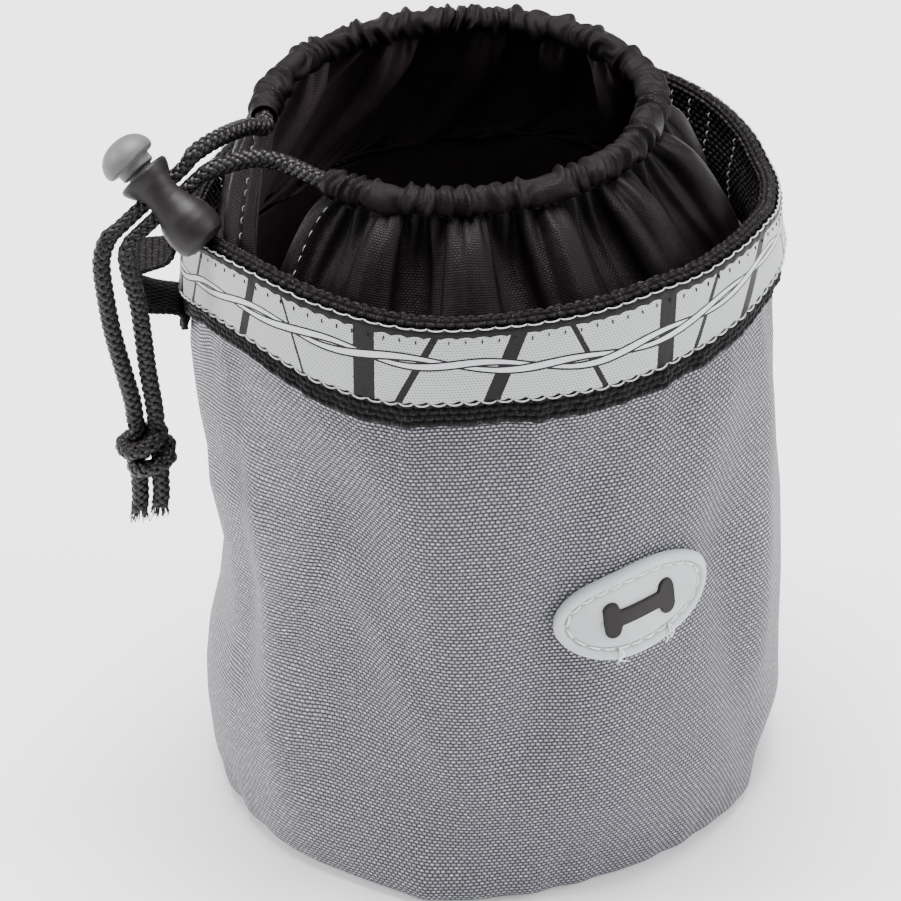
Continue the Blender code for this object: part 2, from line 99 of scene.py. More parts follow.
class Look:
    """A node material, with short names for the nodes that these use."""

    def __init__(self, name, roughness=0.7, metallic=0.0):
        self.m = bpy.data.materials.new(name)
        self.m.use_nodes = True
        self.t = self.m.node_tree
        self.p = self.t.nodes["Principled BSDF"]
        self.p.inputs["Roughness"].default_value = roughness
        self.p.inputs["Metallic"].default_value = metallic

    def put(self, socket, v):
        if isinstance(v, bpy.types.NodeSocket):
            self.t.links.new(v, socket)
        elif isinstance(v, (tuple, list)) and len(v) == 3 and socket.type == "RGBA":
            socket.default_value = (*v, 1)
        else:
            socket.default_value = v

    def node(self, kind, **props):
        n = self.t.nodes.new("ShaderNode" + kind)
        for k, v in props.items():
            setattr(n, k, v)
        return n

    def math(self, op, a, b=None, c=None, clamp=False):
        n = self.node("Math", operation=op, use_clamp=clamp)
        for s, v in zip(n.inputs, (a, b, c)):
            if v is not None:
                self.put(s, v)
        return n.outputs[0]

    def uv(self):
        n = self.node("UVMap")
        s = self.node("SeparateXYZ")
        self.t.links.new(n.outputs[0], s.inputs[0])
        return n.outputs[0], s.outputs[0], s.outputs[1]

    def object(self):
        return self.node("TexCoord").outputs["Object"]

    def noise(self, vector, scale, detail=2.0, rough=0.5, stretch=None):
        if stretch:
            m = self.node("Mapping")
            self.put(m.inputs["Vector"], vector)
            m.inputs["Scale"].default_value = stretch
            vector = m.outputs[0]
        n = self.node("TexNoise")
        self.put(n.inputs["Vector"], vector)
        n.inputs["Scale"].default_value = scale
        n.inputs["Detail"].default_value = detail
        n.inputs["Roughness"].default_value = rough
        return n.outputs["Fac"]

    def mix(self, fac, a, b):
        n = self.node("Mix", data_type="RGBA")
        self.put(n.inputs[0], fac)
        self.put(n.inputs[6], a)
        self.put(n.inputs[7], b)
        return n.outputs[2]

    def span(self, v, lo, hi, to_lo=0.0, to_hi=1.0, smooth=False):
        n = self.node("MapRange", interpolation_type="SMOOTHSTEP" if smooth else "LINEAR")
        for s, x in zip(n.inputs, (v, lo, hi, to_lo, to_hi)):
            self.put(s, x)
        return n.outputs[0]

    def bump(self, height, distance, strength=1.0, under=None):
        n = self.node("Bump")
        n.inputs["Distance"].default_value = distance
        n.inputs["Strength"].default_value = strength
        self.put(n.inputs["Height"], height)
        if under is not None:
            self.t.links.new(under, n.inputs["Normal"])
        return n.outputs[0]

    def finish(self, colour=None, rough=None, normal=None, **more):
        for name, v in (("Base Color", colour), ("Roughness", rough), ("Normal", normal)):
            if v is not None:
                self.put(self.p.inputs[name], v)
        for k, v in more.items():
            self.put(self.p.inputs[k.replace("_", " ")], v)
        return self.m

    def weave(self, u, v, pu, pv, low=0.7):
        """A plain weave over u and v, both in metres, with threads pu and pv wide: its height, 0 to 1, and which thread is on top."""
        x, y = self.math("DIVIDE", u, pu), self.math("DIVIDE", v, pv)
        ix, iy = self.math("FLOOR", x), self.math("FLOOR", y)
        fx, fy = self.math("FRACT", x), self.math("FRACT", y)
        odd = self.math("MULTIPLY", self.math("FRACT", self.math("MULTIPLY", self.math("ADD", ix, iy), 0.5)), 2.0)
        hx, hy = self.math("SINE", self.math("MULTIPLY", fx, math.pi)), self.math("SINE", self.math("MULTIPLY", fy, math.pi))
        a = self.math("MULTIPLY", hy, self.math("MULTIPLY_ADD", hx, 0.65, 0.35))
        b = self.math("MULTIPLY", self.math("MULTIPLY", hx, self.math("MULTIPLY_ADD", hy, 0.65, 0.35)), low)
        h = self.math("ADD", self.math("MULTIPLY", a, self.math("SUBTRACT", 1.0, odd)), self.math("MULTIPLY", b, odd))
        return h, odd


def woven_polyester():
    """Rounded beads in rows, each row half a bead on from the one below, coloured with painted highlights on the bead
    tops and painted shade in the gaps between them.
    """
    k = Look("woven_polyester")
    uv, u, v = k.uv()
    u2 = k.math("ADD", u, k.math("MULTIPLY", k.math("SUBTRACT", k.noise(uv, 70, 2), 0.5), 0.0012))
    # towards the two sides, away from the front, the rows wander more and the beads along a row run together, which
    # narrows the painted shade between them
    side = k.span(k.math("ABSOLUTE", k.math("SUBTRACT", u, 0.252)), 0.030, 0.062)
    wander = k.math("MULTIPLY_ADD", side, 0.0022, 0.0015)
    v2 = k.math("ADD", v, k.math("MULTIPLY", k.math("SUBTRACT", k.noise(uv, 60, 2), 0.5), wander))
    y = k.math("DIVIDE", v2, 0.00067)
    row = k.math("FLOOR", y)
    x = k.math("ADD", k.math("DIVIDE", u2, 0.00093), k.math("MULTIPLY", row, 0.5))
    hx = k.math("ABSOLUTE", k.math("SINE", k.math("MULTIPLY", x, math.pi)))
    hy = k.math("SINE", k.math("MULTIPLY", k.math("FRACT", y), math.pi))
    h = k.math("MULTIPLY", k.math("POWER", hx, k.math("MULTIPLY_ADD", side, -0.5, 0.75)), k.math("POWER", hy, 0.85))
    slub = k.noise(uv, 1100, 2, 0.6)
    fibre = k.noise(uv, 6000, 2, 0.7, (1.0, 3.5, 1.0))
    # painted shade and painted highlight: the colour runs from dark in the gaps between beads to light on the bead
    # tops, after the weave's height, with slub noise adding random tone; the glint adds brighter painted highlights on
    # the tops
    tone = k.math("ADD", h, k.math("MULTIPLY", k.math("SUBTRACT", slub, 0.5), 0.5))
    c = k.mix(k.span(tone, 0.25, 1.05), (0.022, 0.021, 0.028), (0.41, 0.405, 0.46))
    glint = k.math("MULTIPLY", k.span(slub, 0.52, 0.7), k.span(h, 0.7, 0.97))
    c = k.mix(k.math("MULTIPLY", glint, 0.9), c, (0.92, 0.92, 0.98))
    patch = k.noise(uv, 24, 3, 0.55)
    c = k.mix(k.math("MULTIPLY", k.span(patch, 0.35, 0.7), 0.12), c, (0.11, 0.108, 0.13))
    n = k.bump(fibre, 0.00004, 0.4, k.bump(h, 0.00034, 1.0))
    return k.finish(c, k.span(tone, 0.1, 0.9, 0.8, 0.45), n, Sheen_Weight=0.03, Sheen_Roughness=0.5)


def webbing(name="black_webbing", pu=0.3255 / 196, pv=0.00112):
    """Coarse webbing: rows of bead-like yarns, each row half a bead on from the one before, with painted shade in the
    gaps between beads and painted glints round their edges.
    """
    k = Look(name)
    uv, u, v = k.uv()
    y = k.math("DIVIDE", v, pv)
    row = k.math("FLOOR", y)
    x = k.math("ADD", k.math("DIVIDE", u, pu), k.math("MULTIPLY", row, 0.5))
    hx = k.math("ABSOLUTE", k.math("SINE", k.math("MULTIPLY", x, math.pi)))
    hy = k.math("SINE", k.math("MULTIPLY", k.math("FRACT", y), math.pi))
    h = k.math("MULTIPLY", k.math("POWER", hx, 0.55), k.math("POWER", hy, 0.6))
    ply = k.math("SINE", k.math("MULTIPLY", k.math("ADD", x, k.math("MULTIPLY", y, 0.35)), TAU * 4))
    fibre = k.noise(uv, 4200, 3, 0.7, (1.0, 3.0, 1.0))
    edge_glint_noise = k.noise(uv, 900, 4, 0.6)
    yarn = k.mix(k.span(fibre, 0.3, 0.75), (0.0016, 0.001, 0.0012), (0.0115, 0.0082, 0.009))
    yarn = k.mix(k.math("MULTIPLY", k.span(ply, 0.5, 1.0), 0.16), yarn, (0.05, 0.042, 0.045))
    # painted shade: the colour goes nearly black in the gaps between beads, after the weave's height
    c = k.mix(k.span(h, 0.25, 0.7), (0.0012, 0.001, 0.001), yarn)
    # painted highlight: grey glints in a ring round each bead's edge, in noisy patches
    edge = k.math("MULTIPLY", k.span(h, 0.35, 0.5), k.span(h, 0.75, 0.55))
    c = k.mix(k.math("MULTIPLY", edge, k.span(edge_glint_noise, 0.53, 0.68, 0.0, 0.5)), c, (0.15, 0.135, 0.14))
    n = k.bump(fibre, 0.00007, 0.7, k.bump(h, 0.00028, 0.9))
    return k.finish(c, k.span(fibre, 0.3, 0.7, 0.4, 0.65), n, Specular_IOR_Level=0.11)


def taffeta():
    k = Look("lining_taffeta")
    uv, u, v = k.uv()
    h, odd = k.weave(u, v, 0.00036, 0.00036, 0.75)
    fibre = k.noise(uv, 2600, 2, 0.6)
    wrinkle = k.noise(uv, 150, 4, 0.55)
    crease = k.noise(uv, 60, 3, 0.6)
    lint = k.noise(uv, 1500, 2, 0.5)
    c = k.mix(k.span(h, 0.15, 0.9), (0.0012, 0.0006, 0.0009), (0.0098, 0.0062, 0.0078))
    # painted light: the side towards the mouth's middle, which is the collar's inside and the lining, whose u starts at
    # 1.0, is coloured far lighter, its thread tops lightest, standing in for the light it takes from its own folds
    c = k.mix(k.math("GREATER_THAN", u, 0.6), c, k.mix(h, (0.026, 0.018, 0.0215), (0.092, 0.070, 0.080)))
    c = k.mix(k.math("MULTIPLY", k.span(crease, 0.35, 0.7), 0.35), c, (0.0125, 0.0082, 0.0105))
    c = k.mix(k.math("MULTIPLY", k.span(lint, 0.76, 0.80), 0.5), c, (0.16, 0.15, 0.15))
    n = k.bump(h, 0.00009, 0.7, k.bump(wrinkle, 0.0008, 0.5))
    return k.finish(c, k.span(fibre, 0.2, 0.8, 0.36, 0.5), n, Specular_IOR_Level=0.14)


def braided():
    k = Look("braided_cord")
    uv, u, v = k.uv()
    ply = k.math("SINE", k.math("MULTIPLY", k.math("ADD", k.math("MULTIPLY", v, 1.0), k.math("MULTIPLY", u, 900.0)), TAU))
    fibre = k.noise(uv, 30, 3, 0.7, (60.0, 1.0, 1.0))
    c = k.mix(k.span(fibre, 0.3, 0.75), (0.0012, 0.0008, 0.001), (0.0105, 0.0072, 0.0085))
    # painted highlight: light grey glints in streaks along the strands
    strand_glint = k.noise(uv, 40, 2, 0.6, (40.0, 1.0, 1.0))
    c = k.mix(k.math("MULTIPLY", k.span(strand_glint, 0.6, 0.72), 0.5), c, (0.075, 0.064, 0.068))
    n = k.bump(fibre, 0.00006, 0.6, k.bump(ply, 0.00004, 0.6))
    return k.finish(c, k.span(fibre, 0.3, 0.7, 0.28, 0.5), n, Specular_IOR_Level=0.3)


def moulded(name, dark, light, rough):
    k = Look(name)
    o = k.object()
    grain = k.noise(o, 5200, 3, 0.6)
    flow = k.noise(o, 320, 3, 0.5)
    scuff = k.noise(o, 900, 6, 0.75)
    c = k.mix(k.span(flow, 0.3, 0.7), dark, light)
    c = k.mix(k.math("MULTIPLY", k.span(scuff, 0.62, 0.72), 0.25), c, tuple(x * 1.7 for x in light))
    n = k.bump(grain, 0.00005, 0.5, k.bump(flow, 0.00025, 0.4))
    return k.finish(c, k.span(grain, 0.3, 0.7, rough - 0.06, rough + 0.08), n, Specular_IOR_Level=0.3)


def rubber(name, dark, light, rough=0.55):
    k = Look(name)
    o = k.object()
    grain = k.noise(o, 3600, 3, 0.65)
    cloud = k.noise(o, 210, 3, 0.5)
    c = k.mix(k.span(cloud, 0.3, 0.7), dark, light)
    n = k.bump(grain, 0.00005, 0.55)
    return k.finish(c, k.span(grain, 0.3, 0.7, rough - 0.07, rough + 0.1), n, Specular_IOR_Level=0.3)


def thread(name, dark, light):
    k = Look(name)
    o = k.object()
    twist = k.noise(o, 5000, 2, 0.6)
    c = k.mix(twist, dark, light)
    return k.finish(c, k.span(twist, 0.2, 0.8, 0.5, 0.75), k.bump(twist, 0.00005, 0.6), Specular_IOR_Level=0.25)


def steel():
    k = Look("spring_steel", 0.3, 1.0)
    drawn = k.noise(k.object(), 4000, 3, 0.6)
    return k.finish(k.mix(drawn, (0.42, 0.42, 0.43), (0.66, 0.66, 0.65)), k.span(drawn, 0.2, 0.8, 0.22, 0.42), k.bump(drawn, 0.00002, 0.4))


RIBBON_HEIGHT = 0.0133


def ribbon_look():
    """Silver jacquard with upright and slanted black bars and a plain two-strand twist along its middle. u runs along the ribbon, v up it, in metres."""
    k = Look("jacquard_ribbon")
    uv, u, v = k.uv()
    rough_u = k.math("ADD", u, k.math("MULTIPLY", k.math("SUBTRACT", k.noise(uv, 2600, 1), 0.5), 0.0002))
    mid = k.math("SUBTRACT", v, RIBBON_HEIGHT / 2)

    def bar(at, wide, slant):
        x = k.math("SUBTRACT", rough_u, k.math("MULTIPLY_ADD", mid, slant, at))
        return k.math("LESS_THAN", k.math("ABSOLUTE", x), wide / 2)

    bars = None
    for at, wide, slant in BARS:
        b = bar(at, wide, slant)
        bars = b if bars is None else k.math("MAXIMUM", bars, b)

    # The twist: two strands that swap sides, each drawn with a dark outline, the one in front over the other
    wave = 0.0285
    turn = k.math("MULTIPLY", u, TAU / wave)
    drift = k.math("MULTIPLY", k.math("SINE", k.math("MULTIPLY", u, TAU / 0.083)), 0.0012)
    centre = k.math("ADD", mid, drift)
    s = k.math("SINE", turn)
    c_ = k.math("COSINE", turn)

    def strand(sign):
        y = k.math("MULTIPLY", s, sign * 0.00078)
        off = k.math("ABSOLUTE", k.math("SUBTRACT", centre, y))
        thick = k.math("MULTIPLY_ADD", k.math("MULTIPLY", c_, sign), 0.00014, 0.00040)
        fill = k.math("LESS_THAN", off, thick)
        line = k.math("LESS_THAN", off, k.math("ADD", thick, 0.00032))
        return fill, line

    fill_a, line_a = strand(1)
    fill_b, line_b = strand(-1)
    front_a = k.math("GREATER_THAN", c_, 0.0)

    fine, _ = k.weave(u, v, 0.00024, 0.00024, 0.7)
    row = k.math("DIVIDE", v, 0.00048)
    dot_x = k.math("FRACT", k.math("ADD", k.math("DIVIDE", u, 0.00056), k.math("MULTIPLY", k.math("FLOOR", row), 0.38)))
    dx = k.math("ABSOLUTE", k.math("SUBTRACT", dot_x, 0.5))
    dy = k.math("ABSOLUTE", k.math("SUBTRACT", k.math("FRACT", row), 0.5))
    dot = k.span(k.math("ADD", k.math("MULTIPLY", dx, 0.75), dy), 0.2, 0.36, 1.0, 0.0)
    satin = k.noise(uv, 90, 3, 0.5)
    silver = k.mix(k.span(fine, 0.1, 0.65), (0.37, 0.40, 0.385), (0.60, 0.635, 0.61))
    silver = k.mix(k.math("MULTIPLY", dot, 0.8), silver, (0.055, 0.06, 0.058))
    silver = k.mix(k.math("MULTIPLY", satin, 0.14), silver, (0.66, 0.69, 0.67))
    black = k.mix(fine, (0.001, 0.0006, 0.0008), (0.0082, 0.0056, 0.0064))
    pale = k.mix(fine, (0.5, 0.52, 0.54), (0.84, 0.86, 0.89))
    c = k.mix(bars, silver, black)
    for first in (0, 1):
        for fill, line, show in ((fill_a, line_a, front_a), (fill_b, line_b, k.math("SUBTRACT", 1.0, front_a))):
            if first:
                fill_here, line_here = k.math("MULTIPLY", fill, show), k.math("MULTIPLY", line, show)
            else:
                hidden = k.math("SUBTRACT", 1.0, show)
                fill_here, line_here = k.math("MULTIPLY", fill, hidden), k.math("MULTIPLY", line, hidden)
            c = k.mix(line_here, c, black)
            c = k.mix(fill_here, c, pale)
    # Dark selvages, the lower one in scallops between its stitches
    scallop = k.math("ABSOLUTE", k.math("SINE", k.math("MULTIPLY", u, math.pi / 0.0027)))
    low_edge = k.math("MULTIPLY_ADD", k.math("SUBTRACT", 1.0, scallop), 0.00035, 0.0002)
    high_edge = k.math("MULTIPLY_ADD", k.math("SUBTRACT", 1.0, scallop), -0.0003, RIBBON_HEIGHT - 0.0011)
    edges = k.math("MAXIMUM", k.math("LESS_THAN", v, low_edge), k.math("GREATER_THAN", v, high_edge))
    c = k.mix(edges, c, black)
    relief = k.math("ADD", k.math("MULTIPLY", fine, 0.5), k.math("MULTIPLY", k.math("MAXIMUM", line_a, line_b), 0.8))
    n = k.bump(relief, 0.00011, 0.8)
    return k.finish(c, k.span(fine, 0.1, 0.8, 0.56, 0.4), n, Specular_IOR_Level=0.2)


# Each bar's place along the ribbon, counted from the back, its width and how far it leans over for each metre up
BARS = [
    (0.0050, 0.0011, -0.45), (0.0200, 0.0034, 0.05), (0.0330, 0.0011, 0.5), (0.0450, 0.0026, 0.45), (0.0600, 0.0010, -0.45), (0.0740, 0.0034, 0.0),
    (0.0850, 0.0013, 0.55), (0.1000, 0.0027, 0.4), (0.1140, 0.0011, -0.4), (0.1270, 0.0033, 0.1), (0.1380, 0.0010, 0.5), (0.1500, 0.0027, 0.5),
    (0.1650, 0.0034, 0.0), (0.1770, 0.0026, 0.1), (0.1880, 0.0010, 0.45), (0.2042, 0.0018, 0.26), (0.2138, 0.0005, -0.32), (0.2273, 0.0037, 0.04),
    (0.2364, 0.0014, 0.56), (0.2509, 0.0027, 0.41), (0.2645, 0.0010, -0.45), (0.2789, 0.0032, 0.09), (0.2877, 0.0010, 0.48), (0.3010, 0.0026, 0.6),
    (0.3170, 0.0012, -0.4),
]

LOOKS = {
    "woven": woven_polyester(),
    "webbing": webbing(),
    "taffeta": taffeta(),
    "cord": braided(),
    "lock": moulded("lock_plastic", (0.0068, 0.0050, 0.0052), (0.0112, 0.0088, 0.0090), 0.48),
    "button": moulded("button_plastic", (0.095, 0.091, 0.093), (0.135, 0.130, 0.132), 0.46),
    "rubber": rubber("badge_rubber", (0.47, 0.505, 0.515), (0.54, 0.575, 0.585)),
    "inlay": rubber("inlay_rubber", (0.0065, 0.0040, 0.0046), (0.0115, 0.0078, 0.0086), 0.6),
    "white": thread("white_thread", (0.78, 0.78, 0.78), (0.95, 0.95, 0.94)),
    "dark": thread("dark_thread", (0.0025, 0.0018, 0.002), (0.014, 0.011, 0.012)),
    "loop": webbing("loop_webbing", 0.00145, 0.00105),
    "hem": thread("hem_thread", (0.12, 0.11, 0.105), (0.42, 0.40, 0.37)),
    "silver": thread("silver_thread", (0.34, 0.35, 0.35), (0.62, 0.64, 0.63)),
    "steel": steel(),
    "ribbon": ribbon_look(),
}


# ------------------------------------------------------------------ mesh helpers


def rows_mesh(name, P, look, uv=None, wrap_u=False, wrap_v=False, body="pouch", smooth=True, flip=False):
    """A mesh of quads from P, points in rows (v, u). uv holds u and v in metres, with one more than the points along a wrapped way."""
    nv, nu = P.shape[:2]
    ju, jv = (nu if wrap_u else nu - 1), (nv if wrap_v else nv - 1)
    J, I = np.meshgrid(np.arange(jv), np.arange(ju), indexing="ij")
    I2, J2 = I + 1, J + 1
    quad = np.stack([J * nu + I, J * nu + I2 % nu, (J2 % nv) * nu + I2 % nu, (J2 % nv) * nu + I], -1).reshape(-1, 4)
    if flip:
        quad = quad[:, ::-1]
    me = bpy.data.meshes.new(name)
    me.from_pydata(P.reshape(-1, 3).tolist(), [], quad.tolist())
    if uv is not None:
        U, V = uv
        if np.ndim(U) == 1:
            U = np.broadcast_to(U[None, :], (len(V) if np.ndim(V) == 1 else V.shape[0], len(U)))
        if np.ndim(V) == 1:
            V = np.broadcast_to(V[:, None], (len(V), U.shape[1]))
        at = np.stack([U, V], -1)
        loops = np.stack([at[J, I], at[J, I2], at[J2, I2], at[J2, I]], -2).reshape(-1, 4, 2)
        if flip:
            loops = loops[:, ::-1]
        layer = me.uv_layers.new(name="UVMap")
        layer.data.foreach_set("uv", loops.reshape(-1).astype(np.float32))
    me.materials.append(LOOKS[look])
    if smooth:
        me.shade_smooth()
    me.validate()
    o = bpy.data.objects.new(name, me)
    bpy.context.scene.collection.objects.link(o)
    if body:
        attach(o, body)
    return o


def join(name, parts, look, body="pouch", smooth=True):
    """One object from several (verts, faces, uv per corner) parts."""
    vs, fs, uvs, n = [], [], [], 0
    for v, f, w in parts:
        vs.append(v)
        fs.append(f + n)
        uvs.append(w)
        n += len(v)
    me = bpy.data.meshes.new(name)
    V, F = np.concatenate(vs), np.concatenate(fs)
    me.from_pydata(V.tolist(), [], F.tolist())
    layer = me.uv_layers.new(name="UVMap")
    layer.data.foreach_set("uv", np.concatenate(uvs).reshape(-1).astype(np.float32))
    me.materials.append(LOOKS[look])
    if smooth:
        me.shade_smooth()
    o = bpy.data.objects.new(name, me)
    bpy.context.scene.collection.objects.link(o)
    if body:
        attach(o, body)
    return o


def quads(nv, nu, wrap_u):
    ju = nu if wrap_u else nu - 1
    J, I = np.meshgrid(np.arange(nv - 1), np.arange(ju), indexing="ij")
    I2 = (I + 1) % nu
    return np.stack([J * nu + I, J * nu + I2, (J + 1) * nu + I2, (J + 1) * nu + I], -1).reshape(-1, 4), (J, I)


def rod(path, radius, sides=6, squash=1.0, cap=True, up=None):
    """(verts, faces, uv) of a closed tube along path. radius may vary, and a zero at an end closes it to a point."""
    path = np.asarray(path, float)
    n = len(path)
    radius = np.broadcast_to(radius, n)
    t = np.gradient(path, axis=0)
    t /= np.linalg.norm(t, axis=1)[:, None]
    a = np.array(up if up is not None else (0.31, 0.87, 0.37), float)
    N = np.zeros_like(path)
    for i in range(n):
        a = a - t[i] * (a @ t[i])
        a /= np.linalg.norm(a)
        N[i] = a
    B = np.cross(t, N)
    ang = np.arange(sides) / sides * TAU
    ring = N[:, None] * (np.cos(ang) * squash)[None, :, None] + B[:, None] * np.sin(ang)[None, :, None]
    V = (path[:, None] + ring * radius[:, None, None]).reshape(-1, 3)
    F, (J, I) = quads(n, sides, True)
    along = np.concatenate([[0], np.cumsum(np.linalg.norm(np.diff(path, axis=0), axis=1))])
    U = along[J]
    U2 = along[J + 1]
    W = I / sides
    W2 = (I + 1) / sides
    uv = np.stack([np.stack([U, W], -1), np.stack([U, W2], -1), np.stack([U2, W2], -1), np.stack([U2, W], -1)], -2).reshape(-1, 4, 2)
    return V, F, uv


def capped(part, sides):
    """Closes a rod's two ends with fans of quads to a middle point."""
    V, F, uv = part
    n = len(V) // sides
    first, last = V[:sides].mean(0), V[-sides:].mean(0)
    V = np.concatenate([V, [first], [last]])
    extra = []
    for k in range(0, sides, 2):
        extra.append([len(V) - 2, (k + 2) % sides, (k + 1) % sides, k])
        b = (n - 1) * sides
        extra.append([len(V) - 1, b + k, b + (k + 1) % sides, b + (k + 2) % sides])
    F = np.concatenate([F, np.array(extra)])
    uv = np.concatenate([uv, np.zeros((len(extra), 4, 2))])
    return V, F, uv


def smoothstep(a, b, x):
    t = np.clip((np.asarray(x, float) - a) / (b - a), 0, 1)
    return t * t * (3 - 2 * t)


def around(table, theta):
    """A smooth periodic value at theta, in radians, from (degrees, value) pairs."""
    d = np.array(sorted(table), float)
    x = np.concatenate([d[-2:, 0] - 360, d[:, 0], d[:2, 0] + 360])
    y = np.concatenate([d[-2:, 1], d[:, 1], d[:2, 1]])
    q = np.degrees(theta) % 360
    i = np.clip(np.searchsorted(x, q, side="right") - 1, 1, len(x) - 3)
    x0, x1 = x[i], x[i + 1]
    t = (q - x0) / (x1 - x0)
    m0 = (y[i + 1] - y[i - 1]) / (x[i + 1] - x[i - 1]) * (x1 - x0)
    m1 = (y[i + 2] - y[i]) / (x[i + 2] - x[i]) * (x1 - x0)
    t2, t3 = t * t, t * t * t
    return (2 * t3 - 3 * t2 + 1) * y[i] + (t3 - 2 * t2 + t) * m0 + (-2 * t3 + 3 * t2) * y[i + 1] + (t3 - t2) * m1


def waves(rng, n, low, high):
    """n sine waves round a circle, as (count, phase, share)."""
    k = rng.integers(low, high + 1, n)
    return [(int(a), rng.uniform(0, TAU), rng.uniform(0.5, 1.0)) for a in k]


def wave_sum(w, theta, shift=0.0):
    return sum(s * np.cos(k * theta + p + shift * (1 + 0.3 * i)) for i, (k, p, s) in enumerate(w)) / sum(s for _, _, s in w) ** 0.5


# ------------------------------------------------------------------ the wall's shape, which the bag, band, ribbon and lining share

RIM_TOP = [(8, -3.2), (20, -2.3), (35, -1.3), (60, -1.3), (90, -1.6), (120, -3.0), (150, -4.6), (175, -4.0), (187, -2.6), (197, -0.2), (208, 3.5), (222, 5.1), (238, 3.9), (253, 2.5), (262, 2.2), (270, 2.5), (283, 3.0), (292, 3.2), (302, 3.7), (312, 3.2), (322, 3.3), (335, 2.5), (346, 0.0)]
RIM_LOW = [(8, 2.0), (35, 0.5), (90, 0.0), (150, -1.5), (175, -1.6), (189, -0.2), (199, 3.2), (208, 5.4), (220, 6.0), (230, 4.2), (239, 2.1), (253, 0.9), (269, 2.1), (280, 1.9), (291, 1.8), (300, 2.2), (308, 3.0), (326, 4.4), (335, 5.0), (346, 4.2)]
RIM_OUT = [(0, -2.0), (10, -2.2), (20, -2.0), (35, -1.6), (60, -0.6), (90, 0), (120, -0.8), (150, -1.8), (175, -1.4), (195, -0.4), (215, 0.2), (240, 0.2), (280, 0.1), (320, 0.2), (338, -0.6), (350, -1.7)]
LEFT = [(0, 0.9), (7, 1.6), (15, 2.0), (20, 1.8), (26, 1.1), (34, -0.9), (45, -2.2), (52, -2.5), (57, -1.9), (65, -0.7), (72, -0.9), (79, -0.1), (92, 0.8), (105, 0.2), (118, -0.2)]
RIGHT = [(0, 0.2), (10, 0.1), (17, -0.3), (25, -0.3), (37, 0.1), (54, 0.2), (62, -0.2), (70, -0.2), (79, -0.3), (88, 0.5), (100, 0.6), (118, 0.2)]
FOOT = [(15, -4.4), (35, -2.4), (60, 0.3), (90, -0.5), (120, 0.7), (150, -0.7), (180, 0.1), (205, -0.4), (222, -0.3), (235, -0.7), (246, 0.1), (254, 1.5), (263, 0.2), (275, -1.2), (288, -2.5), (303, -2.7), (320, -2.6), (330, -2.0), (337, -2.3), (343, -4.0), (350, -5.3), (0, -5.4)]
_fold = np.random.default_rng(11)
FOLDS = waves(_fold, 5, 2, 7)
RIPPLES = waves(_fold, 6, 26, 44)


def bulge(theta, z_mm):
    """How far the wall stands out from its plain cylinder, in mm."""
    left = np.interp(z_mm, *zip(*LEFT)) * np.clip(np.cos(theta - math.radians(184)), 0, 1) ** 2
    right = np.interp(z_mm, *zip(*RIGHT)) * np.clip(np.cos(theta - math.radians(-6)), 0, 1) ** 2
    free = smoothstep(0, 22, z_mm) * (1 - smoothstep(82, 100, z_mm))
    slow = 0.75 * wave_sum(FOLDS, theta, z_mm / 38) * free
    crease = 0.0
    for at, lean, wide, deep, z0, z1 in CREASES:
        line = math.radians(at) + lean * (z_mm - 50) / 50
        d = (np.angle(np.exp(1j * (theta - line)))) * 50 / wide
        crease = crease + 1.3 * deep * np.exp(-d * d) * smoothstep(z0 - 12, z0 + 10, z_mm) * (1 - smoothstep(z1 - 10, z1 + 12, z_mm))
    under = 0.22 * wave_sum(RIPPLES, theta) * smoothstep(78, 98, z_mm) * (1 - smoothstep(99, 104, z_mm))
    foot = 0.2 * wave_sum(RIPPLES, theta, 1.0) * (1 - smoothstep(3, 14, z_mm)) + around(FOOT, theta) * (1 - smoothstep(1, 15.5 + 8 * np.clip(np.cos(theta - math.radians(262)), 0, 1), z_mm))
    return left + right + slow + crease + under + foot


# Soft folds of the wall: angle, lean, width and depth in mm, and the heights it runs between
CREASES = [
    (208, 0.10, 4.5, -0.8, 30, 90),
    (217, -0.10, 5.0, 1.1, 16, 86),
    (238, 0.10, 10.0, -2.3, 14, 84),
    (226, 0.45, 4.0, -0.9, 40, 72),
    (259, -0.10, 8.0, 1.3, 18, 84),
    (247, -0.5, 4.5, 0.8, 30, 62),
    (279, 0.22, 6.5, -1.4, 30, 92),
    (291, -0.10, 9.0, 0.6, 20, 92),
    (323, -0.20, 6.0, -1.5, 12, 70),
    (313, 0.10, 6.0, 0.8, 66, 92),
    (334, 0.10, 6.0, 1.2, 22, 84),
    (349, 0.12, 5.0, -0.5, 25, 90),
    (196, -0.10, 5.0, 0.7, 48, 92),
    (40, 0.1, 8.0, -0.7, 12, 90),
    (80, -0.1, 9.0, 0.6, 20, 90),
    (120, 0.1, 7.0, -0.7, 15, 85),
    (150, -0.05, 8.0, 0.6, 20, 80),
]


def lift(theta, z_mm):
    """How far the mouth's waves carry a point of the wall up, in mm: none at the base and up to half way."""
    top, low = around(RIM_TOP, theta), around(RIM_LOW, theta)
    band = np.clip((z_mm - 99.5) / 18.8, 0, 1.2)
    fade = smoothstep(45, 99.5, z_mm)
    return np.where(z_mm < 99.5, low * fade, low + (top - low) * band)


def lean(theta, z_mm):
    return around(RIM_OUT, theta) * smoothstep(70, 116, z_mm)


def wall(theta, z_mm, r_mm):
    """A point of the wall at r_mm from the axis and z_mm up in the plain cylinder, moved as the bag has settled."""
    theta, z_mm, r_mm = np.broadcast_arrays(np.asarray(theta, float), np.asarray(z_mm, float), np.asarray(r_mm, float))
    r = r_mm + bulge(theta, z_mm) + lean(theta, z_mm)
    z = z_mm + lift(theta, z_mm)
    return np.stack([r * np.cos(theta), r * np.sin(theta), z], -1) * MM




def nested(theta, z_mm, r_mm, inward=0.0):
    """Like wall, for a piece inside it, which keeps clear of the wall's own ripples."""
    return wall(theta, z_mm, np.asarray(r_mm, float) - inward)


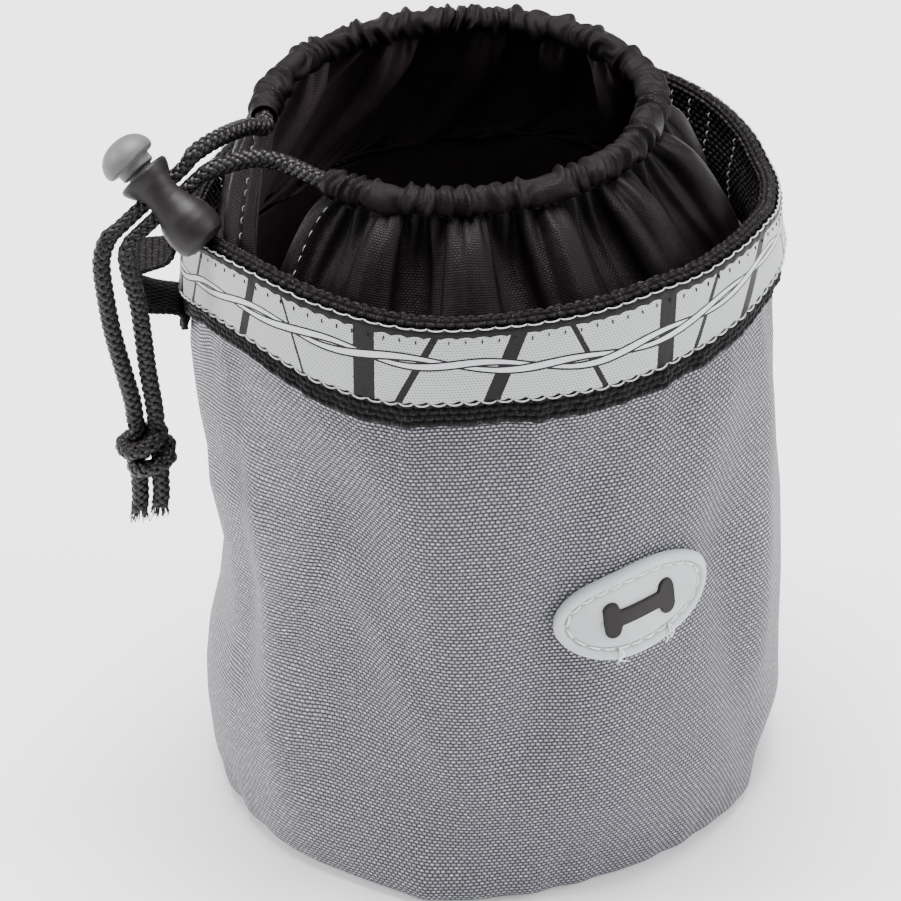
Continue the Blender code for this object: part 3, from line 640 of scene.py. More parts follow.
def normals(P, wrap_u=False):
    """Unit normals of a grid of points (v, u)."""
    if wrap_u:
        du = np.roll(P, -1, 1) - np.roll(P, 1, 1)
    else:
        du = np.gradient(P, axis=1)
    dv = np.gradient(P, axis=0)
    n = np.cross(du, dv)
    return n / np.maximum(np.linalg.norm(n, axis=2, keepdims=True), 1e-12)


def stitches(name, items, radius, look, arch=0.5, sides=6, steps=5, body="pouch"):
    """Small threads lying on a surface, each (middle, direction, outwards, length), with both ends sunk in it."""
    parts = []
    for at, along, out, length in items:
        at, along, out = (np.asarray(q, float) for q in (at, along, out))
        along = along / np.linalg.norm(along)
        out = out / np.linalg.norm(out)
        t = np.linspace(-0.5, 0.5, steps)
        path = at + along * (t * length)[:, None] + out * (radius * (1.0 - 2 * (1 + arch) * (2 * t) ** 4))[:, None]
        parts.append(capped(rod(path, radius * (1 - 0.25 * (2 * t) ** 4), sides, up=out), sides))
    o = join(name, parts, look, body)
    return o


# ------------------------------------------------------------------ the drawstring

KNOT = np.array((-58.0, -26.0, 81.7)) * MM
KNOT_H = 10.6 * MM
HOLE = np.array((-52.29, -21.83, 127.90)) * MM
ALONG = np.array(Vector((0.6565, -0.4066, -0.6358)).normalized())
CORDWISE = np.array(Vector((-0.7548, -0.3537, -0.5531)).normalized())
HOLE_S = 12.35 * MM
CORD_R, PINCHED_R, CORD_STEP = 1.6 * MM, 1.3 * MM, 1.45 * MM
RING_X, RING_Y, RING_RX, RING_RY, RING_Z = -3.3 * MM, 1.0 * MM, 32.8 * MM, 33.0 * MM, 130.2 * MM
SLIT_LOW, SLIT_FROM, SLIT_TO = math.radians(222), math.radians(229), math.radians(541)


def ring(a, inwards=0.0, up=0.0):
    """Points on the channel's middle line at angles a."""
    a = np.asarray(a, float)
    return np.stack([RING_X + (RING_RX - inwards) * np.cos(a), RING_Y + (RING_RY - inwards) * np.sin(a), RING_Z - 0.6 * MM * np.sin(a) + up], -1)


def smooth_route(points, per=6):
    """Points along a Catmull-Rom curve through the route's own points."""
    p = [np.asarray(q, float) for q in points]
    p = [p[0] * 2 - p[1]] + p + [p[-1] * 2 - p[-2]]
    out = []
    for a, b, c, d in zip(p, p[1:], p[2:], p[3:]):
        for k in range(per):
            t = k / per
            out.append(0.5 * ((2 * b) + (c - a) * t + (2 * a - 5 * b + 4 * c - d) * t * t + (3 * b - a - 3 * c + d) * t**3))
    return out + [p[-2]]


def resample(path, step):
    """The path at even steps, smoothed a little, with the distance along it."""
    path = np.asarray(path, float)
    s = np.concatenate([[0], np.cumsum(np.linalg.norm(np.diff(path, axis=0), axis=1))])
    n = max(3, int(round(s[-1] / step)) + 1)
    q = np.linspace(0, s[-1], n)
    out = np.stack([np.interp(q, s, path[:, k]) for k in range(3)], -1)
    for _ in range(3):
        out[1:-1] = 0.5 * out[1:-1] + 0.25 * (out[:-2] + out[2:])
    return out, q


def frames(path, up=(0.21, 0.35, 0.91)):
    """Tangent and two across directions along a path, turning as little as they can."""
    t = np.gradient(path, axis=0)
    t /= np.linalg.norm(t, axis=1)[:, None]
    a = np.array(up, float)
    N = np.zeros_like(path)
    for i in range(len(path)):
        a = a - t[i] * (a @ t[i])
        a /= np.linalg.norm(a)
        N[i] = a
    return t, N, np.cross(t, N)


BRAID_PITCH = 6.0 * MM


def braid(path, thick=None, per_turn=30, sides=8, start=0.0):
    """The strands of a braided cord along path, four each way, as parts to join. Each strand passes over and under the ones it crosses, so their tops make columns of V shapes."""
    fine, s = resample(path, BRAID_PITCH / per_turn)
    t, N, B = frames(fine)
    scale = np.ones(len(fine)) if thick is None else np.interp(s / s[-1], np.linspace(0, 1, len(thick)), thick)
    parts = []
    for way in (1, -1):
        for k in range(4):
            angle = way * (s + start) / BRAID_PITCH * TAU + k * TAU / 4
            r = (1.14 + way * 0.17 * np.cos(4 * angle)) * MM * scale
            radial = N * np.cos(angle)[:, None] + B * np.sin(angle)[:, None]
            centre = fine + radial * r[:, None]
            run = np.gradient(centre, axis=0)
            run /= np.linalg.norm(run, axis=1)[:, None]
            side = np.cross(run, radial)
            side /= np.linalg.norm(side, axis=1)[:, None]
            out = np.cross(side, run)
            q = np.arange(sides) / sides * TAU
            c, sn = np.sign(np.cos(q)) * np.abs(np.cos(q)) ** 0.85, np.sign(np.sin(q)) * np.abs(np.sin(q)) ** 0.85
            V = centre[:, None] + side[:, None] * (c * 0.56 * MM)[None, :, None] * scale[:, None, None] + out[:, None] * (sn * 0.30 * MM)[None, :, None] * scale[:, None, None]
            F, (J, I) = quads(len(fine), sides, True)
            length = np.concatenate([[0], np.cumsum(np.linalg.norm(np.diff(centre, axis=0), axis=1))])
            U, U2, W, W2 = length[J], length[J + 1], I / sides, (I + 1) / sides
            uv = np.stack([np.stack([U, W], -1), np.stack([U, W2], -1), np.stack([U2, W2], -1), np.stack([U2, W], -1)], -2).reshape(-1, 4, 2)
            parts.append(capped((V.reshape(-1, 3), F, uv), sides))
    core = capped(rod(fine[::4], 1.02 * MM * scale[::4], 10), 10)
    return parts + [core]


COLD, WARM = -6.2 * MM, 9.2 * MM


def tail_route(start, leave, lead, side, drop):
    """The middle line of one tail, from the channel's end through the lock and down to the knot, with its thickness along it."""
    leave = np.asarray(leave, float)
    base = HOLE + ALONG * side
    first = start + leave * (0.3 * MM / np.linalg.norm(leave))
    apart = ALONG * math.copysign(0.5 * MM, side)
    before = smooth_route([first, first + leave / np.linalg.norm(leave) * 3.2 * MM, *lead, base + apart + CORDWISE * (COLD - 2.6 * MM), base + CORDWISE * COLD], 4)
    middle = [base + CORDWISE * (COLD + (WARM - COLD) * k / 6) for k in range(1, 6)]
    after = smooth_route([base + CORDWISE * WARM, *drop], 4)
    n = len(before)
    pinch = PINCHED_R / CORD_R
    thick = [1.0] * (n - 4) + [1 - (1 - pinch) * k / 3 for k in range(1, 4)] + [pinch] * 7
    thick += [pinch + (1 - pinch) * min(1, k / 4) for k in range(1, len(after))]
    path = before + middle + after
    s = np.concatenate([[0], np.cumsum(np.linalg.norm(np.diff(np.array(path), axis=0), axis=1))])
    return path, np.interp(np.linspace(0, s[-1], 120), s, thick)


def mm(*points):
    return [np.array(p, float) * MM for p in points]


KNOT_TOP = KNOT[2] / MM + 5.3 + 0.3
ROUTES = {
    "a": tail_route(ring(SLIT_TO), (0.05, -1, 0), mm((-38.6, -7.2, 132.6), (-42.6, -13.4, 134.4)), -CORD_STEP, mm((-61.95, -25.2, 122.3), (-63.2, -26.0, 118.6), (-63.0, -26.5, 112.5), (-62.3, -26.6, 105.3), (-61.0, -26.3, 97.4), (-60.0, -26.0, 91.5), (-59.75, -26.0, KNOT_TOP))),
    "b": tail_route(ring(SLIT_FROM), (-0.755, 0.656, 0), mm((-32.4, -17.2, 130.9), (-37.6, -16.9, 131.9)), CORD_STEP, mm((-58.95, -26.5, 119.9), (-58.6, -26.8, 116.2), (-57.7, -26.5, 111.0), (-57.3, -26.3, 104.5), (-57.0, -26.1, 97.4), (-56.5, -26.0, 91.5), (-56.25, -26.0, KNOT_TOP))),
}


def fray(at, down, seed, reach=1.9 * MM, count=34):
    """Cut fibres that spread a little below a cord's end."""
    rng = np.random.default_rng(seed)
    parts = []
    for k in range(count):
        a, r = rng.uniform(0, TAU), 1.35 * MM * math.sqrt(rng.uniform(0, 1))
        side = np.array((math.cos(a), math.sin(a), 0))
        root = at + side * r - down * 1.2 * MM
        n = rng.uniform(0.6, 1.25) * reach
        path = [root, root + down * 1.3 * MM, root + down * (1.3 * MM + n * 0.55) + side * n * rng.uniform(0.0, 0.25), root + down * (1.3 * MM + n) + side * n * rng.uniform(0.0, 0.45)]
        parts.append(capped(rod(np.array(smooth_route(path, 3)), np.linspace(0.16, 0.05, 10) * MM, 5), 5) if False else rod(np.array(smooth_route(path, 3)), np.linspace(0.17, 0.06, 10) * MM, 5))
    return parts


def drawstring():
    knot_parts = []
    # the two cords as they run through the knot, and the two turns that go round them on a slant
    for dx, dy, lean_x in ((-1.75, 0.0, 0.5), (1.75, 0.0, -0.4)):
        path = [KNOT + np.array((dx, dy, 5.5)) * MM, KNOT + np.array((dx * 0.9 + lean_x, dy + 0.1, 1.8)) * MM, KNOT + np.array((dx * 0.9 - lean_x, dy - 0.1, -1.8)) * MM, KNOT + np.array((dx, dy, -5.5)) * MM]
        knot_parts += braid(smooth_route(path, 8), per_turn=24)
    tilt = Matrix.Rotation(math.radians(-24), 3, "Y")
    for k, (rise, turn0) in enumerate(((2.0, 0.35), (-1.55, 0.9))):
        path = []
        for j in range(41):
            q = j / 40
            a = TAU * (turn0 + 1.12 * q)
            r = 3.28 - 2.1 * (smoothstep(0.09, 0.0, q) + smoothstep(0.91, 1.0, q))
            p = Vector((r * 1.02 * math.cos(a), r * 0.98 * math.sin(a), rise + 1.3 * (0.5 - q)))
            path.append(KNOT + np.array(tilt @ p) * MM)
        knot_parts += braid(smooth_route(path, 2), np.full(20, 0.97), per_turn=24)
    knot = join("knot", knot_parts, "cord")
    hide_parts("drawstring_knot")
    ends = []
    for name, dx, dy, length in (("end_a", -1.85, 0.2, 8.2), ("end_b", 1.75, -0.2, 7.0)):
        at = KNOT + np.array((dx, dy, -5.6)) * MM
        path = smooth_route([at + np.array((0, 0, 1.2)) * MM, at, at + np.array((-0.1, 0, -length / 2)) * MM, at + np.array((-0.5, 0, -length + 1.6)) * MM], 6)
        down = np.array((-0.1, 0.0, -0.995))
        o = join("cord_" + name + "_braid", braid(path, np.linspace(1, 0.96, 10)) + fray(path[-1], down, 3 if name == "end_a" else 5), "cord")
        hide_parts("cord_" + name)
        ends.append(o)
    tails = []
    for key, (path, thick) in ROUTES.items():
        o = join(f"tail_{key}", braid(path, thick), "cord")
        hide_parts(f"drawstring_tail_{key}")
        tails.append((o, path))
    run = ring(np.linspace(SLIT_FROM - 0.02, SLIT_TO + 0.02, 200))
    o = join("drawstring_inside", braid(run, per_turn=14, sides=6), "cord")
    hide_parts("drawstring_run")
    return knot, ends, tails


knot, ends, tails = drawstring()


# ------------------------------------------------------------------ the cord lock

z_axis = Vector(-ALONG)
x_axis = (Vector(CORDWISE) - z_axis * Vector(CORDWISE).dot(z_axis)).normalized()
LOCK = Matrix.Translation(Vector(HOLE)) @ Matrix((x_axis, z_axis.cross(x_axis), z_axis)).transposed().to_4x4()


def turned(name, profile, look, body, steps=96):
    """A profile of (radius, distance from the dome's top) in mm, rounded at its corners and turned about the lock's axis."""
    P = np.array(profile, float)
    fine = [P[0]]
    for a, b, c in zip(P, P[1:], P[2:]):
        cut = min(0.35, 0.4 * np.linalg.norm(b - a), 0.4 * np.linalg.norm(c - b))
        p, q = b + (a - b) / np.linalg.norm(a - b) * cut, b + (c - b) / np.linalg.norm(c - b) * cut
        fine += [p * (1 - t) ** 2 + 2 * b * t * (1 - t) + q * t * t for t in (0, 0.25, 0.5, 0.75, 1)]
    fine.append(P[-1])
    bm = bmesh.new()
    rings = []
    for r, s in fine:
        if r < 1e-6:
            rings.append([bm.verts.new((0, 0, HOLE_S - s * MM))])
        else:
            rings.append([bm.verts.new((r * MM * math.cos(TAU * k / steps), r * MM * math.sin(TAU * k / steps), HOLE_S - s * MM)) for k in range(steps)])
    for a, b in zip(rings, rings[1:]):
        for k in range(steps):
            k2 = (k + 1) % steps
            if len(a) == 1:
                bm.faces.new((a[0], b[k], b[k2]))
            elif len(b) == 1:
                bm.faces.new((a[k], b[0], a[k2]))
            else:
                bm.faces.new((a[k], b[k], b[k2], a[k2]))
    bmesh.ops.recalc_face_normals(bm, faces=bm.faces)
    me = bpy.data.meshes.new(name)
    bm.to_mesh(me)
    bm.free()
    me.materials.append(LOOKS[look])
    o = bpy.data.objects.new(name, me)
    o.matrix_world = LOCK
    bpy.context.scene.collection.objects.link(o)
    return o


def drill(o, size, at, round_by):
    """Cuts a rounded slot through o, along the cords, and keeps the result."""
    bm = bmesh.new()
    bmesh.ops.create_cube(bm, size=1)
    bmesh.ops.scale(bm, vec=size, verts=bm.verts)
    long = [e for e in bm.edges if abs((e.verts[0].co - e.verts[1].co).normalized().x) > 0.9]
    bmesh.ops.bevel(bm, geom=long, offset=round_by, segments=8, affect="EDGES", profile=0.5)
    bmesh.ops.translate(bm, vec=at, verts=bm.verts)
    me = bpy.data.meshes.new("cutter")
    bm.to_mesh(me)
    bm.free()
    tool = bpy.data.objects.new("cutter", me)
    tool.matrix_world = LOCK
    bpy.context.scene.collection.objects.link(tool)
    m = o.modifiers.new("slot", "BOOLEAN")
    m.operation, m.solver, m.object = "DIFFERENCE", "EXACT", tool
    bpy.context.view_layer.update()
    done = bpy.data.meshes.new_from_object(o.evaluated_get(bpy.context.evaluated_depsgraph_get()))
    o.modifiers.clear()
    done.transform(LOCK)
    old, o.data = o.data, done
    o.matrix_world = Matrix()
    bpy.data.meshes.remove(old)
    bpy.data.objects.remove(tool)
    done.shade_smooth()
    done.set_sharp_from_angle(angle=math.radians(38))


barrel = turned("lock_body", [(0, 22.6), (2.6, 22.6), (4.0, 22.1), (4.55, 20.9), (4.7, 19.0), (4.45, 17.0), (3.9, 15.2), (3.5, 13.2), (3.4, 11.2), (3.8, 9.6), (4.5, 8.3), (4.75, 7.6), (4.65, 7.15), (4.4, 6.95), (3.75, 6.95), (3.5, 7.2), (3.5, 8.6), (2.45, 8.75), (2.45, 14.0), (2.45, 21.3), (0, 21.3)], "lock", "cord_lock")
squeeze = CORD_STEP + PINCHED_R + 0.3 * MM
drill(barrel, (14 * MM, 3.4 * MM, 2 * squeeze + 0.7 * MM), (0, 0, -0.35 * MM), 1.5 * MM)
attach(barrel, "cord_lock")
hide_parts("lock_barrel")
dome = turned("lock_dome", [(0, 0), (1.5, 0.12), (2.9, 0.62), (4.0, 1.5), (4.65, 2.6), (4.85, 3.55), (4.7, 4.2), (4.3, 4.6), (3.2, 4.6), (3.2, 6.0), (2.95, 6.3), (2.4, 6.35), (2.4, 10.0), (2.4, 16.5), (0, 16.5)], "button", "button")
drill(dome, (8 * MM, 3.2 * MM, 2 * squeeze + 2.3 * MM), (0, 0, 1.15 * MM), 1.2 * MM)
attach(dome, "button")
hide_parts("lock_button")
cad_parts["lock_spring"].data.materials.clear()
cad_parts["lock_spring"].data.materials.append(LOOKS["steel"])


# ------------------------------------------------------------------ the bag's wall and base

NU = 640


def angles(n=NU):
    return np.arange(n) / n * TAU


def shell():
    """The wall as one closed skin: up its outside, over the hidden top, down its inside."""
    low = [(48.5, 0.7), (49.0, 0.95), (49.45, 1.4), (49.8, 2.1), (50.05, 3.1), (50.2, 4.4), (50.3, 6.0)]
    up = [(50.3, z) for z in np.concatenate([np.arange(7.2, 98, 0.72), np.arange(98, 103, 1.2)])]
    back = [(49.1, z) for z in np.linspace(103, 8, 30)] + [(48.9, 4.5), (48.2, 1.9)]
    profile = np.array(low + up + back)
    T = angles()
    R, Z = profile[:, :1], profile[:, 1:]
    P = wall(T[None, :], Z, R)
    P[..., 2] = np.maximum(P[..., 2], 0.35 * MM)
    along = np.concatenate([[0], np.cumsum(np.linalg.norm(np.diff(np.vstack([profile, profile[:1]]), axis=0), axis=1))]) * MM
    o = rows_mesh("bag_wall", P, "woven", (np.linspace(0, TAU * 50.3 * MM, NU + 1), along), True, True)
    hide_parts("shell_wall")


def base():
    """The round base, flat on the floor but for a low ridge where it is sewn to the wall."""
    T = angles(360)
    edge = wall(T, 1.2, 48.2)
    edge_r = np.hypot(edge[:, 0], edge[:, 1])
    shares = np.concatenate([np.linspace(0.02, 0.9, 30), [0.93, 0.955, 0.975, 0.99, 1.0]])
    puff = 0.12 * MM * np.sin(3 * T[None, :] + 9 * shares[:, None]) * (1 - shares[:, None]) + 0.13 * MM
    z_low = np.where(shares[:, None] < 0.93, np.maximum(puff, 0), np.maximum(0.0, (shares[:, None] - 0.965) * 0.03))
    low = np.stack([edge_r * shares[:, None] * np.cos(T), edge_r * shares[:, None] * np.sin(T), z_low + np.zeros((len(shares), len(T)))], -1)
    high = low[::-1].copy()
    high[..., 2] = 1.25 * MM
    P = np.concatenate([low, high])
    o = rows_mesh("base_disc", P, "woven", None, True, True, flip=True)
    me = o.data
    layer = me.uv_layers.new(name="UVMap")
    co = np.empty(len(me.vertices) * 3, np.float32)
    me.vertices.foreach_get("co", co)
    idx = np.empty(len(me.loops), np.int32)
    me.loops.foreach_get("vertex_index", idx)
    layer.data.foreach_set("uv", co.reshape(-1, 3)[idx][:, :2].reshape(-1))
    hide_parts("base_panel")
    # the binding tape stands up inside, against the wall
    z_in = np.array([2.1, 2.1, 4.0, 6.5, 9.0, 9.0, 6.5, 4.0])
    r_in = np.array([48.0, 47.3, 47.3, 47.35, 47.4, 48.3, 48.35, 48.3])
    P = wall(T[None, :], z_in[:, None], r_in[:, None])
    s = np.concatenate([[0], np.cumsum(np.hypot(np.diff(np.append(z_in, z_in[0])), np.diff(np.append(r_in, r_in[0]))))]) * MM
    o = rows_mesh("seam_tape", P, "webbing", (np.linspace(0, TAU * 48 * MM, 361), s), True, True, flip=True)
    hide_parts("base_seam_tape")


shell()
base()


# ------------------------------------------------------------------ the webbing over the mouth and the ribbon on it


def inner_leg(z):
    """How far out the webbing's inner leg stands: close under the fold, and further in lower down."""
    return 47.2 + 1.8 * smoothstep(105, 115.5, z)


def band():
    """Webbing folded over the mouth: its outer leg, the rolled edge, its inner leg, and the thin gap between the two legs."""
    fold, round_by = 50.4, 1.4
    out_leg = [(51.8, z) for z in np.concatenate([np.arange(98.2, 103.2, 0.24), np.arange(103.2, 115.6, 1.3)])]
    over = [(fold + round_by * math.sin(a), 116.0 + round_by * math.cos(a)) for a in np.linspace(math.pi / 2, -math.pi / 2, 30)]
    in_leg = [(float(inner_leg(z)), z) for z in np.arange(115.5, 100.4, -0.34)]
    turn_in = [(47.3, 100.2), (47.8, 100.0), (48.3, 100.2)]
    inside = [(float(inner_leg(z)) + 1.1 - 0.25 * float(smoothstep(106, 115.5, z)), z) for z in np.linspace(101, 115.5, 9)]
    inside += [(fold - 0.45 * math.cos(a), 116.0 + 0.45 * math.sin(a)) for a in np.linspace(0, math.pi, 8)] + [(50.6 + 0.2 * (z > 114), z) for z in np.linspace(115.5, 99, 7)]
    turn_out = [(50.7, 98.3), (51.15, 98.0), (51.6, 98.05)]
    profile = np.array(out_leg + over + in_leg + turn_in + inside + turn_out)
    n = 1176
    T = angles(n)
    step = np.linalg.norm(np.diff(np.vstack([profile, profile[:1]]), axis=0), axis=1)
    along = np.concatenate([[0], np.cumsum(step)])
    s = along[:-1]
    tangent = np.roll(profile, -1, 0) - np.roll(profile, 1, 0)
    tangent /= np.linalg.norm(tangent, axis=1)[:, None]
    out = np.stack([tangent[:, 1], -tangent[:, 0]], -1)
    # the coarse weave stands out in rows of beads, and the rows beside each other are half a bead apart
    bead_u, bead_v = TAU / 196, 1.12
    row = np.floor(s / bead_v)
    fv = s / bead_v - row
    x = T[None, :] / bead_u + 0.5 * (row[:, None] % 2)
    bead = np.abs(np.sin(math.pi * x)) ** 0.6 * np.sin(math.pi * fv[:, None]) ** 0.7
    outside = (s < along[len(out_leg) + len(over) + len(in_leg)])[:, None]
    rng = np.random.default_rng(4)
    wob = 0.1 * wave_sum(waves(rng, 7, 30, 90), T)[None, :]
    high = (0.34 * bead - 0.16) * outside + wob
    R = profile[:, :1] + out[:, :1] * high
    Z = profile[:, 1:] + out[:, 1:] * high
    P = wall(T[None, :], Z, R)
    o = rows_mesh("mouth_webbing", P, "webbing", (np.linspace(0, 0.3255, n + 1), along * MM), True, True)
    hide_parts("mouth_band")
    items = []
    for degrees in (20, 31.5, 38.5, 44, 46, 62, 78, 95, 112, 130, 147, 163):
        t = math.radians(degrees)
        for z in np.arange(101.5, 115.5, 1.9):
            p, a, u, n = on_band(t + 0.0025 * math.sin(z), z, float(inner_leg(z)) - 0.25)
            items.append((p, u + a * 0.08, -n, 1.35 * MM))
    stitches("inner_leg_rows", items, 0.14 * MM, "hem")


def ribbon():
    """The ribbon lies on the webbing's outer leg, with its long edges a little rolled in and puckered by the stitches."""
    n = 900
    T = angles(n)
    low, high = 102.8, 116.1
    v = np.concatenate([np.linspace(0, 1.2, 7)[:-1], np.linspace(1.2, 12.1, 26)[:-1], np.linspace(12.1, 13.3, 7)])
    edge = np.minimum(v, 13.3 - v)
    pucker = np.sin(T * TAU * 18.6)
    face = 52.52 + 0.1 * smoothstep(0, 0.8, edge)[:, None] - 0.34 * smoothstep(0.25, 0, edge)[:, None] + 0.07 * pucker[None, :] * smoothstep(3.0, 0.6, edge)[:, None]
    T2 = T[None, :] + 0 * face
    Z = low + v[:, None] + 0 * face
    scallop = 0.16 * np.abs(np.sin(T * 52.6 * math.pi / 2.7)) * MM
    front = wall(T2, Z, face)
    front[..., 2] += (scallop[None, :] * smoothstep(1.2, 0, v)[:, None]) * -1
    back = wall(T2, Z, 52.15 + 0 * face)[::-1]
    P = np.concatenate([front, back])
    V = np.concatenate([v, v[::-1], [0]]) * MM
    o = rows_mesh("woven_ribbon", P, "ribbon", (np.linspace(0, TAU * 52.6 * MM, n + 1), V), True, True)
    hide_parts("trim_ribbon")


def on_band(theta, z, r):
    """A place on the band's outside with its directions along, up and out."""
    p = wall(theta, z, r)
    a = wall(theta + 0.004, z, r) - wall(theta - 0.004, z, r)
    u = wall(theta, z + 0.3, r) - wall(theta, z - 0.3, r)
    a, u = a / np.linalg.norm(a), u / np.linalg.norm(u)
    return p, a, u, np.cross(a, u)


def ribbon_stitches():
    """Thin silver threads: a nearly straight row over the upper edge, a scalloped one along the lower, and short dark
    ticks below the upper, which are painted shade: rods in the dark thread's colour standing for the shadows in the
    needle holes.
    """
    rng = np.random.default_rng(8)
    count = 122
    rows = {"low": [], "high": []}
    ticks = []
    for k in range(count):
        t0, t1 = k / count * TAU, (k + 0.93) / count * TAU
        for key, z, r, sag, thick in (("low", 102.95, 52.68, -0.3, 0.15), ("high", 116.25, 52.42, -0.12, 0.12)):
            q = np.linspace(0, 1, 7)
            z0, z1 = z + rng.uniform(-0.09, 0.09, 2)
            zz = z0 + (z1 - z0) * q + sag * np.sin(math.pi * q)
            rr = r + 0.06 * np.sin(math.pi * q) - 0.22 * (2 * np.abs(q - 0.5)) ** 6
            rows[key].append(capped(rod(wall(t0 + (t1 - t0) * q, zz, rr), thick * MM, 6), 6))
        # painted shade: each tick is a short dark rod put where a needle hole is shaded, not a thread
        p, a, u, n = on_band(t0 + 0.012, 114.0 + rng.uniform(-0.15, 0.15), 52.58)
        ticks.append((p, u + a * rng.uniform(-0.25, 0.25), n, rng.uniform(0.7, 1.1) * MM))
    o = join("lower_seam", rows["low"], "silver")
    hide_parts("ribbon_seam_lower")
    o = join("upper_seam", rows["high"], "silver")
    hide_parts("ribbon_seam_upper")
    stitches("ribbon_needle_hole_shade", ticks, 0.13 * MM, "dark")


band()
ribbon()
ribbon_stitches()


# ------------------------------------------------------------------ the lining, its collar and the channel


def lining():
    rng = np.random.default_rng(21)
    n = 420
    T = angles(n)
    zs = np.concatenate([np.linspace(2.9, 8, 8)[:-1], np.linspace(8, 99.9, 110)])
    w1, w2, w3 = waves(rng, 6, 5, 14), waves(rng, 8, 16, 40), waves(rng, 5, 2, 6)
    Z = zs[:, None]
    slack = 0.9 * wave_sum(w1, T[None, :], Z / 17) + 0.4 * wave_sum(w2, T[None, :], Z / 7) + 0.5 * wave_sum(w3, T[None, :], Z / 25)
    free = smoothstep(3, 18, Z) * (1 - smoothstep(88, 99, Z))
    R = 45.9 - 1.3 * free + np.clip(slack, -2.2, 1.1) * free * 0.9
    outer = nested(T[None, :] + 0 * R, Z + 0 * R, R)
    back = nested(T[None, :] + 0 * R, Z + 0 * R, R + 0.35)[::-1]
    P = np.concatenate([outer, back])
    s = np.concatenate([zs, zs[::-1], zs[:1]]) * MM
    # the lining's u starts at 1.0, so the taffeta gives it the painted light of the side towards the mouth's middle
    o = rows_mesh("lining", P, "taffeta", (1.0 + np.linspace(0, TAU * 46 * MM, n + 1), s), True, True, flip=True)
    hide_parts("lining_wall")
    # the floor of the lining, slack over the base
    T = angles(300)
    edge = nested(T, 2.9, 45.9)
    edge_r = np.hypot(edge[:, 0], edge[:, 1])
    shares = np.linspace(0.01, 1, 60)
    S = shares[:, None]
    z = 2.55 + 0.35 * (1 - S) * np.sin(4 * T + 7 * S) + 0.25 * np.sin(11 * T + 16 * S) * S * (1 - S) * 2 + 0.4 * S**6
    top = np.stack([edge_r * S * np.cos(T), edge_r * S * np.sin(T), z * MM], -1)
    low = top[::-1].copy()
    low[..., 2] -= 0.3 * MM
    P = np.concatenate([top, low])
    o = rows_mesh("lining_floor", P, "taffeta", None, True, True, flip=False)
    me = o.data
    layer = me.uv_layers.new(name="UVMap")
    co = np.empty(len(me.vertices) * 3, np.float32)
    me.vertices.foreach_get("co", co)
    idx = np.empty(len(me.loops), np.int32)
    me.loops.foreach_get("vertex_index", idx)
    # the floor's uv is shifted by 1.0, so it takes the taffeta's painted light too
    layer.data.foreach_set("uv", (co.reshape(-1, 3)[idx][:, :2] + 1.0).astype(np.float32).reshape(-1))
    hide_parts("lining_base")


lining()


def pull(A, B, rest, wa, wb, k):
    """Moves the two ends of each thread towards its own length."""
    d = B - A
    L = np.sqrt(np.einsum("...i,...i->...", d, d)) + 1e-12
    c = (k * (L - rest) / (L * (wa + wb + 1e-9)))[..., None] * d
    A += wa[..., None] * c
    B -= wb[..., None] * c


def spread(A, B, least, wa, wb, k):
    """Holds two points apart, as cloth that resists a sharp fold."""
    d = B - A
    L = np.sqrt(np.einsum("...i,...i->...", d, d)) + 1e-12
    c = (k * np.minimum(L - least, 0) / (L * (wa + wb + 1e-9)))[..., None] * d
    A += wa[..., None] * c
    B -= wb[..., None] * c


def relax(P, W, ru, rv, rounds, hold, push, bend=0.25):
    """Lets a grid of cloth points settle: threads keep their length, folds stay round, and hold() keeps it inside its neighbours."""
    last = P.copy()
    diag = math.hypot(ru, rv)
    for n in range(rounds):
        speed = (P - last) * 0.92
        last = P.copy()
        P += speed * W[..., None] + push(P, n / rounds) * W[..., None]
        for _ in range(5):
            for s in (0, 1):
                pull(P[:, s:-1:2], P[:, s + 1 :: 2], ru, W[:, s:-1:2], W[:, s + 1 :: 2], 0.9)
            for s in (0, 1):
                pull(P[s:-1:2], P[s + 1 :: 2], rv, W[s:-1:2], W[s + 1 :: 2], 0.9)
            for s in (0, 1):
                pull(P[s:-1:2, :-1], P[s + 1 :: 2, 1:], diag, W[s:-1:2, :-1], W[s + 1 :: 2, 1:], 0.12)
                pull(P[s:-1:2, 1:], P[s + 1 :: 2, :-1], diag, W[s:-1:2, 1:], W[s + 1 :: 2, :-1], 0.12)
        for s in (0, 1):
            spread(P[:, s:-2:4], P[:, s + 2 :: 4][:, : P[:, s:-2:4].shape[1]], 1.93 * ru, W[:, s:-2:4], W[:, s + 2 :: 4][:, : P[:, s:-2:4].shape[1]], bend)
            spread(P[:, s + 2 : -2 : 4], P[:, s + 4 :: 4][:, : P[:, s + 2 : -2 : 4].shape[1]], 1.93 * ru, W[:, s + 2 : -2 : 4], W[:, s + 4 :: 4][:, : P[:, s + 2 : -2 : 4].shape[1]], bend)
        for m, least, stiff in STIFF.get(P.shape[1], ()):
            soften(P, W, m, least * m * ru, stiff)
        for s in (0, 1):
            spread(P[s:-2:4], P[s + 2 :: 4][: P[s:-2:4].shape[0]], 1.96 * rv, W[s:-2:4], W[s + 2 :: 4][: P[s:-2:4].shape[0]], bend)
            spread(P[s + 2 : -2 : 4], P[s + 4 :: 4][: P[s + 2 : -2 : 4].shape[0]], 1.96 * rv, W[s + 2 : -2 : 4], W[s + 4 :: 4][: P[s + 2 : -2 : 4].shape[0]], bend)
        hold(P)
    return P


# How far apart two points some threads away stay, at each fineness: (threads, share of their distance, strength)
STIFF = {145: ((3, 0.86, 0.5), (5, 0.78, 0.35)), 289: ((6, 0.86, 0.5), (10, 0.78, 0.35)), 577: ((6, 0.93, 0.4), (12, 0.86, 0.4))}


